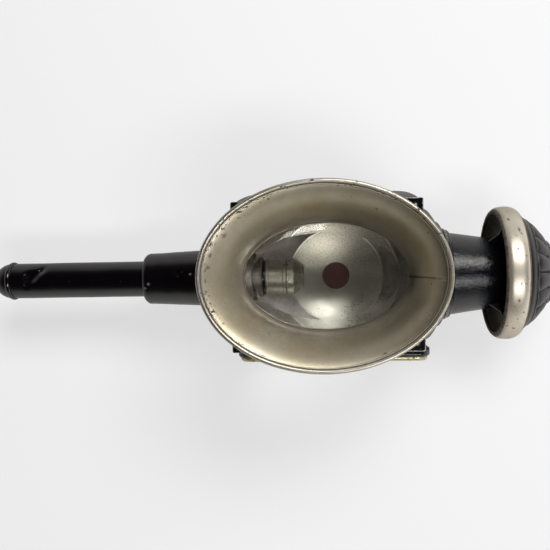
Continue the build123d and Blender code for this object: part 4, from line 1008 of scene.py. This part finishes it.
# ---------------------------------------------------------------- side door
D_LO, D_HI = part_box("door_frame")
X0, X1 = D_LO.x / MM, D_HI.x / MM
dyc, dzc = (D_LO.y + D_HI.y) / 2 / MM, (D_LO.z + D_HI.z) / 2 / MM
dw, dh = (D_HI.y - D_LO.y) / MM, (D_HI.z - D_LO.z) / MM
B_LO, B_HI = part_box("door_bezel")
wyc, wzc = (B_LO.y + B_HI.y) / 2 / MM, (B_LO.z + B_HI.z) / 2 / MM
ww, wh = (B_HI.y - B_LO.y) / MM - 5.0, (B_HI.z - B_LO.z) / MM - 5.0


def ring(w, h, r, cy, cz, x):
    o = rrect(w, h, r, cy, cz)
    return np.c_[np.full(len(o), x), o]


def door():
    rings = []
    wear_rows = []

    def put(w, h, r, cy, cz, x, wear=0.0):
        rings.append(ring(w, h, r, cy, cz, x))
        wear_rows.append(wear)

    put(dw - 0.5, dh - 0.5, 9.8, dyc, dzc, X0, 0.3)
    put(dw, dh, 10.0, dyc, dzc, X0 + 0.3, 0.5)
    put(dw, dh, 10.0, dyc, dzc, X1 - 1.9, 0.2)
    for f in np.linspace(0.1, 1, 7):
        a = f * math.pi / 2
        put(dw - 3.6 * (1 - math.cos(a)), dh - 3.6 * (1 - math.cos(a)), 10 - 1.8 * (1 - math.cos(a)), dyc, dzc, X1 - 1.8 + 1.8 * math.sin(a), 0.6 - 0.4 * f)
    for f in (0.12, 0.3, 0.5, 0.7, 0.9):
        w = (dw - 3.6) * (1 - f) + (ww + 1.0) * f
        h = (dh - 3.6) * (1 - f) + (wh + 1.0) * f
        put(w, h, 8.2 * (1 - f) + 6.4 * f, dyc * (1 - f) + wyc * f, dzc * (1 - f) + wzc * f, X1 - 0.25 * math.sin(f * math.pi), 0.0)
    put(ww + 0.8, wh + 0.8, 6.4, wyc, wzc, X1 - 0.05, 0.2)
    put(ww + 0.1, wh + 0.1, 6.0, wyc, wzc, X1 - 0.4, 0.3)
    put(ww, wh, 6.0, wyc, wzc, X0 + 4.5, 0.0)
    put(ww + 6.0, wh + 6.0, 8.0, wyc, wzc, X0 + 4.4, 0.0)
    put(ww + 6.0, wh + 6.0, 8.0, wyc, wzc, X0, 0.2)
    n = len(rings[0])
    wear = np.repeat(np.array(wear_rows)[:, None], n, 1)
    loft("door_frame_rounded", rings, BLACK, "door", ("door_frame",), True, {"wear": wear}, 42)

    # half-round nickel bead that follows the door's outer edge
    rings, dirt_rows = [], []
    wo, ho, ro = dw - 3.4, dh - 3.4, 8.4
    wid = 5.2
    for a in np.linspace(0, math.pi, 17):
        t = wid / 2 * (1 - math.cos(a))
        x = X1 + 0.1 + 3.1 * math.sin(a) ** 0.8
        rings.append(ring(wo - 2 * t, ho - 2 * t, ro - t * 0.85, dyc, dzc, x))
        dirt_rows.append(0.85 * math.exp(-((x - X1) / 0.45) ** 2))
    rings.append(ring(wo - 2 * wid + 0.6, ho - 2 * wid + 0.6, ro - wid * 0.8, dyc, dzc, X1 - 0.5))
    dirt_rows.append(0.8)
    rings.append(ring(wo - 0.6, ho - 0.6, ro - 0.2, dyc, dzc, X1 - 0.5))
    dirt_rows.append(0.8)
    dirt = np.repeat(np.array(dirt_rows)[:, None], len(rings[0]), 1)
    loft("door_outer_bead", rings, NICKEL_GREEN, "door", ("door_bead",), True, {"dirt": dirt, "wear": dirt * 0 + 0.35}, 60)

    rings, dirt_rows = [], []
    for a in np.linspace(0, math.pi, 11):
        t = 2.4 / 2 * (1 - math.cos(a))
        x = X1 + 0.05 + 1.15 * math.sin(a) ** 0.7
        rings.append(ring(ww + 5.0 - 2 * t, wh + 5.0 - 2 * t, 8.0 - t, wyc, wzc, x))
        dirt_rows.append(0.8 * math.exp(-((x - X1) / 0.3) ** 2))
    rings.append(ring(ww + 0.4, wh + 0.4, 6.1, wyc, wzc, X1 - 0.5))
    rings.append(ring(ww + 4.6, wh + 4.6, 7.8, wyc, wzc, X1 - 0.4))
    dirt_rows += [0.6, 0.6]
    dirt = np.repeat(np.array(dirt_rows)[:, None], len(rings[0]), 1)
    loft("door_window_bezel", rings, NICKEL_GREEN, "door", ("door_bezel",), True, {"dirt": dirt, "wear": dirt * 0 + 0.2}, 60)

    g0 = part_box("door_glass")[0].x / MM
    rings = [ring(ww + 5.2, wh + 5.2, 7.7, wyc, wzc, g0), ring(ww + 5.4, wh + 5.4, 7.8, wyc, wzc, g0 + 0.2), ring(ww + 5.4, wh + 5.4, 7.8, wyc, wzc, g0 + 2.6),
             ring(ww + 5.2, wh + 5.2, 7.7, wyc, wzc, g0 + 2.8), ring(ww - 0.4, wh - 0.4, 5.8, wyc, wzc, g0 + 2.8), ring(ww - 0.6, wh - 0.6, 5.7, wyc, wzc, g0 + 2.88)]
    for f in np.linspace(0.1, 0.98, 7):
        rings.append(ring(ww - 0.6 - 12.4 * f, wh - 0.6 - 12.4 * f, 5.7 - 4.2 * f, wyc, wzc, g0 + 2.8 + 1.8 * f))
    rings.append(ring(ww - 13.6, wh - 13.6, 1.2, wyc, wzc, g0 + 4.6))
    loft("door_bevelled_glass", rings, CLEAR, "door", ("door_glass",), False, None, 8)


door()


# ---------------------------------------------------------------- rear lens
def rear_lens():
    lo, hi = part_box("rear_lens")
    yb, yt = lo.y / MM, hi.y / MM
    prof = np.vstack([[(0, yb + 0.02), (13.2, yb + 0.02), (13.4, yb + 0.2), (13.4, yb + 1.5)], arc3((13.3, yb + 1.65), (7.6, yb + 3.3), (0.0, yt), 26)])
    revolve("ruby_bullseye_lens", prof, RUBY, "lamp", ("rear_lens",), 128, False, "Y", (0, REFL_Z), None, None, 50)
    b = eased([(13.5, yb), (20.0, yb), (20.05, yb + 0.6), (19.6, yb + 1.0), (17.6, yb + 1.0), (17.0, yb + 1.6), (16.6, yb + 2.7), (15.4, yb + 3.4), (14.0, yb + 3.6),
               (12.6, yb + 3.45), (12.1, yb + 3.0), (12.2, yb + 2.45), (13.5, yb + 1.8)], 0.4, 4)
    revolve("rear_lens_bezel", finer(b, 0.5), NICKEL, "lamp", ("rear_bezel",), 160, True, "Y", (0, REFL_Z), None,
            lambda T, R, H: {"dirt": np.clip(np.exp(-((R - 17.3) / 0.35) ** 2) * 0.7 + np.exp(-((R - 20.0) / 0.2) ** 2) * 0.4, 0, 1), "wear": 0.3 + 0 * T}, 50)


rear_lens()


# ---------------------------------------------------------------- rivets
def rivet_set(name, node, places, axis, mat, body, r, height):
    """Round-headed rivets, each a small dome with a soft foot."""
    verts, faces = [], []
    prof = [(r, 0.0), (r * 1.0, height * 0.18)] + [(r * math.cos(a), height * 0.18 + height * 0.82 * math.sin(a)) for a in np.linspace(0.15, math.pi / 2 - 0.02, 9)]
    n = 36
    wear = []
    for k, (px, py, pz) in enumerate(places):
        base = len(verts)
        for rr, hh in prof:
            for j in range(n):
                t = 2 * math.pi * j / n
                c, s = rr * math.cos(t), rr * math.sin(t)
                verts.append((px + c, py - hh, pz + s) if axis == "-Y" else (px + c, py + s, pz - hh))
                wear.append(0.25 + 0.55 * (hh / height) ** 3)
        m = len(prof)
        for f in grid_faces(m, n, False, True).tolist():
            faces.append([base + v for v in f])
        faces.append([base + (m - 1) * n + j for j in range(n)])
        faces.append([base + j for j in range(n)][::-1])
    build(name, verts, faces, mat, body, (node,), 50, {"wear": np.array(wear)})


pr_lo, pr_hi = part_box("plate_rivets")
py = pr_hi.y / MM
px, pz0, pz1 = pr_hi.x / MM - 2.0, pr_lo.z / MM + 2.0, pr_hi.z / MM - 2.0
rivet_set("plate_corner_rivets", "plate_rivets", [(px, py, pz0), (-px, py, pz0), (px, py, pz1), (-px, py, pz1)], "-Y", BLACK, "lamp", 2.0, 1.1)
fr_lo, fr_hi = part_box("flange_rivets")
fz = fr_hi.z / MM - 1.6
k45 = 31.0 * math.cos(math.pi / 4)
rivet_set("stem_flange_rivets", "flange_rivets", [(sx * k45, sy * k45, fz) for sx in (1, -1) for sy in (1, -1)], "-Z", BLACK, "lamp", 2.4, 1.3)


# ---------------------------------------------------------------- CAD nodes that keep their shape
def smooth_edges(node, width=0.35, seg=3):
    """Merges the seams of the imported mesh and rounds its edges a little, without moving the CAD piece."""
    ob = NODES[node]
    weld = ob.modifiers.new("weld", "WELD")
    weld.merge_threshold = 1e-6
    bev = ob.modifiers.new("bevel", "BEVEL")
    bev.width = width * MM
    bev.segments = seg
    bev.limit_method = "ANGLE"
    bev.angle_limit = math.radians(40)
    bev.harden_normals = False
    wn = ob.modifiers.new("normals", "WEIGHTED_NORMAL")
    wn.keep_sharp = False
    wn.weight = 100


def near_edge(m, pairs, reach):
    """1 at the given planes, in millimetres: (axis, place), fading over reach."""
    xyz = m.xyz()
    out = None
    for ax, place in pairs:
        d = m.math("ABSOLUTE", m.math("SUBTRACT", m.math("MULTIPLY", xyz["XYZ".index(ax)], 1000.0), place))
        e = m.step(d, reach, 0.0)
        out = e if out is None else m.math("MAXIMUM", out, e)
    return out


def lining_box(x=None, y=None, zlo=None, zhi=None, yfront=None):
    """The mask of the surfaces inside the body: positions within these bounds, in millimetres."""
    def make(m):
        xyz = m.xyz()
        out = None
        def both(v):
            nonlocal out
            out = v if out is None else m.math("MULTIPLY", out, v)
        if x is not None:
            both(m.step(m.math("ABSOLUTE", m.math("MULTIPLY", xyz[0], 1000.0)), x + 0.05, x - 0.05))
        if y is not None:
            both(m.step(m.math("MULTIPLY", xyz[1], 1000.0), y + 0.05, y - 0.05))
        if yfront is not None:
            both(m.step(m.math("MULTIPLY", xyz[1], 1000.0), yfront - 0.05, yfront + 0.05))
        if zlo is not None:
            both(m.step(m.math("MULTIPLY", xyz[2], 1000.0), zlo - 0.05, zlo + 0.05))
        if zhi is not None:
            both(m.step(m.math("MULTIPLY", xyz[2], 1000.0), zhi + 0.05, zhi - 0.05))
        return out
    return make


S_LO, S_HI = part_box("body_shell")
P_LO, P_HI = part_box("front_plate")


def plate_edges(m):
    return m.math("MULTIPLY", near_edge(m, [("X", P_LO.x / MM), ("X", P_HI.x / MM), ("Z", P_LO.z / MM), ("Z", P_HI.z / MM)], 2.2), 0.74)


def shell_corners(m):
    a = near_edge(m, [("X", S_LO.x / MM), ("X", S_HI.x / MM)], 2.6)
    b = near_edge(m, [("Y", S_HI.y / MM)], 2.6)
    c = near_edge(m, [("Z", S_LO.z / MM), ("Z", S_HI.z / MM)], 1.0)
    return m.math("MULTIPLY", m.math("MAXIMUM", m.math("MULTIPLY", a, b), m.math("MULTIPLY", c, 0.8)), 0.70)


shell_mat = enamel("shell_black_tinned_inside", edge=shell_corners, lining=lining_box(x=S_HI.x / MM - 0.6, y=S_HI.y / MM - 0.6)).m
floor_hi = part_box("floor_plate")[1].z / MM
floor_mat = enamel("floor_black_tinned_inside", lining=lining_box(x=S_HI.x / MM - 1.4, y=S_HI.y / MM - 1.4, zlo=floor_hi - 0.3)).m
top_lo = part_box("top_plate")[0].z / MM
top_mat = enamel("top_black_tinned_inside", lining=lining_box(x=S_HI.x / MM - 1.4, y=S_HI.y / MM - 1.4, zhi=top_lo + 0.3)).m
front_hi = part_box("front_plate")[1].y / MM
front_mat = enamel("front_black_tinned_inside", chips=1.6, gloss=(0.10, 0.22), edge=plate_edges, lining=lining_box(x=S_HI.x / MM - 1.4, yfront=front_hi - 0.3, zlo=BZ - 66.5, zhi=BZ + 64.2)).m

FINISH = {
    "body_shell": shell_mat, "floor_plate": floor_mat, "top_plate": top_mat, "front_plate": front_mat,
    "hood_flange": NICKEL, "glass_retainer": TIN, "lens_tube": TIN, "guide_sleeve": SOOTED, "door_glass_retainer": TIN,
    "cap_struts": BLACK_CAST, "wind_baffle": BLACK_CAST, "stem_flange": BLACK, "body_hinge": BLACK, "door_hinge_leaf": BLACK,
    "hinge_pin": BRASS, "catch_knob": NICKEL_GREEN, "catch_tongue": STEEL, "candle_spring": STEEL,
    "bayonet_pins": BRASS, "candle_follower": BRASS,
}
for node, mat in FINISH.items():
    ob = NODES[node]
    ob.data.materials.clear()
    ob.data.materials.append(mat)
for node in ("body_shell", "floor_plate", "top_plate", "front_plate", "stem_flange", "hood_flange"):
    smooth_edges(node, 0.35)
for node in ("body_hinge", "door_hinge_leaf", "cap_struts"):
    smooth_edges(node, 0.2, 2)


# ---------------------------------------------------------------- stage, light and camera
scene = bpy.context.scene
scene.view_settings.view_transform = "Standard"
scene.view_settings.look = "None"
scene.view_settings.exposure = 0.0
scene.view_settings.gamma = 1.0

floor_y = 0.0565
bpy.ops.mesh.primitive_plane_add(size=3.2, location=(0, floor_y, BZ * MM), rotation=(math.pi / 2, 0, 0))
floor = bpy.context.object
floor.name = "pale_floor"
fm = Mat("pale_floor")
fm.nt.nodes.remove(fm.p)
fm_d = fm.node("ShaderNodeBsdfDiffuse")
fm_d.inputs[0].default_value = (0.36, 0.36, 0.365, 1)
fm_e = fm.node("ShaderNodeEmission")
fm_e.inputs[0].default_value = (0.985, 0.985, 1.0, 1)
fm_e.inputs[1].default_value = 0.555
fm_a = fm.node("ShaderNodeAddShader")
fm.nt.links.new(fm_d.outputs[0], fm_a.inputs[0])
fm.nt.links.new(fm_e.outputs[0], fm_a.inputs[1])
fm_t = fm.node("ShaderNodeBsdfTransparent")
fm_m = fm.node("ShaderNodeMixShader")
xyz = fm.xyz()
dist = fm.math("SQRT", fm.math("ADD", fm.math("MULTIPLY", xyz[0], xyz[0]), fm.math("MULTIPLY", xyz[1], xyz[1])))
back = fm.node("ShaderNodeNewGeometry").outputs["Backfacing"]
gone = fm.math("MAXIMUM", fm.step(dist, 0.55, 1.5), back)
fm.nt.links.new(gone, fm_m.inputs[0])
fm.nt.links.new(fm_a.outputs[0], fm_m.inputs[1])
fm.nt.links.new(fm_t.outputs[0], fm_m.inputs[2])
fm.nt.links.new(fm_m.outputs[0], fm.out.inputs[0])
floor.data.materials.append(fm.m)
floor.visible_diffuse = False
floor.visible_glossy = False
floor.visible_transmission = False
floor.visible_shadow = False

world = bpy.data.worlds.new("studio")
scene.world = world
world.use_nodes = True
wt = world.node_tree
wt.nodes.clear()
w_out = wt.nodes.new("ShaderNodeOutputWorld")
w_mix = wt.nodes.new("ShaderNodeMixShader")
w_path = wt.nodes.new("ShaderNodeLightPath")
w_cam = wt.nodes.new("ShaderNodeBackground")
w_cam.inputs[0].default_value = (0.86, 0.86, 0.862, 1)
w_env = wt.nodes.new("ShaderNodeBackground")
w_co = wt.nodes.new("ShaderNodeTexCoord")
w_sep = wt.nodes.new("ShaderNodeSeparateXYZ")
wt.links.new(w_co.outputs["Generated"], w_sep.inputs[0])
w_map = wt.nodes.new("ShaderNodeMapRange")
w_map.inputs["From Min"].default_value = -1
w_map.inputs["From Max"].default_value = 1
wt.links.new(w_sep.outputs["Y"], w_map.inputs["Value"])
w_ramp = wt.nodes.new("ShaderNodeValToRGB")
wt.links.new(w_map.outputs[0], w_ramp.inputs[0])
stops = [(0.0, 0.02), (0.12, 0.035), (0.24, 0.13), (0.36, 0.72), (0.46, 1.0), (0.62, 1.0), (0.85, 0.70), (1.0, 0.35)]
while len(w_ramp.color_ramp.elements) < len(stops):
    w_ramp.color_ramp.elements.new(0.5)
for e, (pos, val) in zip(w_ramp.color_ramp.elements, stops):
    e.position = pos
    e.color = (val, val * 0.985, val * 0.96, 1)
wt.links.new(w_ramp.outputs[0], w_env.inputs[0])
w_lift = wt.nodes.new("ShaderNodeVectorMath")
w_lift.operation = "DOT_PRODUCT"
wt.links.new(w_co.outputs["Generated"], w_lift.inputs[0])
w_lift.inputs[1].default_value = (0.06, 0.0, 0.42)
w_gain = wt.nodes.new("ShaderNodeMath")
w_gain.operation = "MULTIPLY_ADD"
wt.links.new(w_lift.outputs["Value"], w_gain.inputs[0])
w_gain.inputs[1].default_value = 0.95
w_gain.inputs[2].default_value = 0.95
wt.links.new(w_gain.outputs[0], w_env.inputs[1])
wt.links.new(w_path.outputs["Is Camera Ray"], w_mix.inputs[0])
wt.links.new(w_env.outputs[0], w_mix.inputs[1])
wt.links.new(w_cam.outputs[0], w_mix.inputs[2])
wt.links.new(w_mix.outputs[0], w_out.inputs[0])


def panel(name, direction, distance, width, height, power, colour, target):
    """A soft lamp at this distance from target, facing it, tall along Z."""
    d = Vector(direction).normalized()
    light = bpy.data.lights.new(name, "AREA")
    light.shape = "RECTANGLE"
    light.size, light.size_y = width, height
    light.energy = power
    light.color = colour
    ob = bpy.data.objects.new(name, light)
    ob.location = Vector(target) + d * distance
    ob.rotation_mode = "QUATERNION"
    ob.rotation_quaternion = d.to_track_quat("Z", "Y")
    scene.collection.objects.link(ob)
    return ob


NECK_POINT = (0.0, -0.03, (BZ + 105) * MM)
panel("window_left", (-0.5615, -0.802, 0.235), 1.5, 0.54, 0.95, 18.0, (1.0, 0.985, 0.96), NECK_POINT)
panel("window_right", (0.420, -0.884, 0.235), 1.5, 0.30, 0.95, 10.0, (1.0, 0.985, 0.96), NECK_POINT)

ALPHA = math.atan(53.9 / 700.0)
ROLL = math.radians(1.0)
f = Vector((0, math.cos(ALPHA), -math.sin(ALPHA)))
r = Vector((0, math.sin(ALPHA), math.cos(ALPHA)))
u = Vector((-1, 0, 0))
right = r * math.cos(ROLL) - u * math.sin(ROLL)
up = u * math.cos(ROLL) + r * math.sin(ROLL)
cam_data = bpy.data.cameras.new("photo_camera")
cam_data.sensor_width = 36.0
cam_data.lens = 36.0 * 700.0 / 550.0
cam_data.clip_start, cam_data.clip_end = 0.02, 20.0
cam = bpy.data.objects.new("photo_camera", cam_data)
scene.collection.objects.link(cam)
cam.matrix_world = Matrix((
    (right.x, up.x, -f.x, -0.0013),
    (right.y, up.y, -f.y, -0.5561),
    (right.z, up.z, -f.z, BZ * MM),
    (0, 0, 0, 1),
))
scene.camera = cam
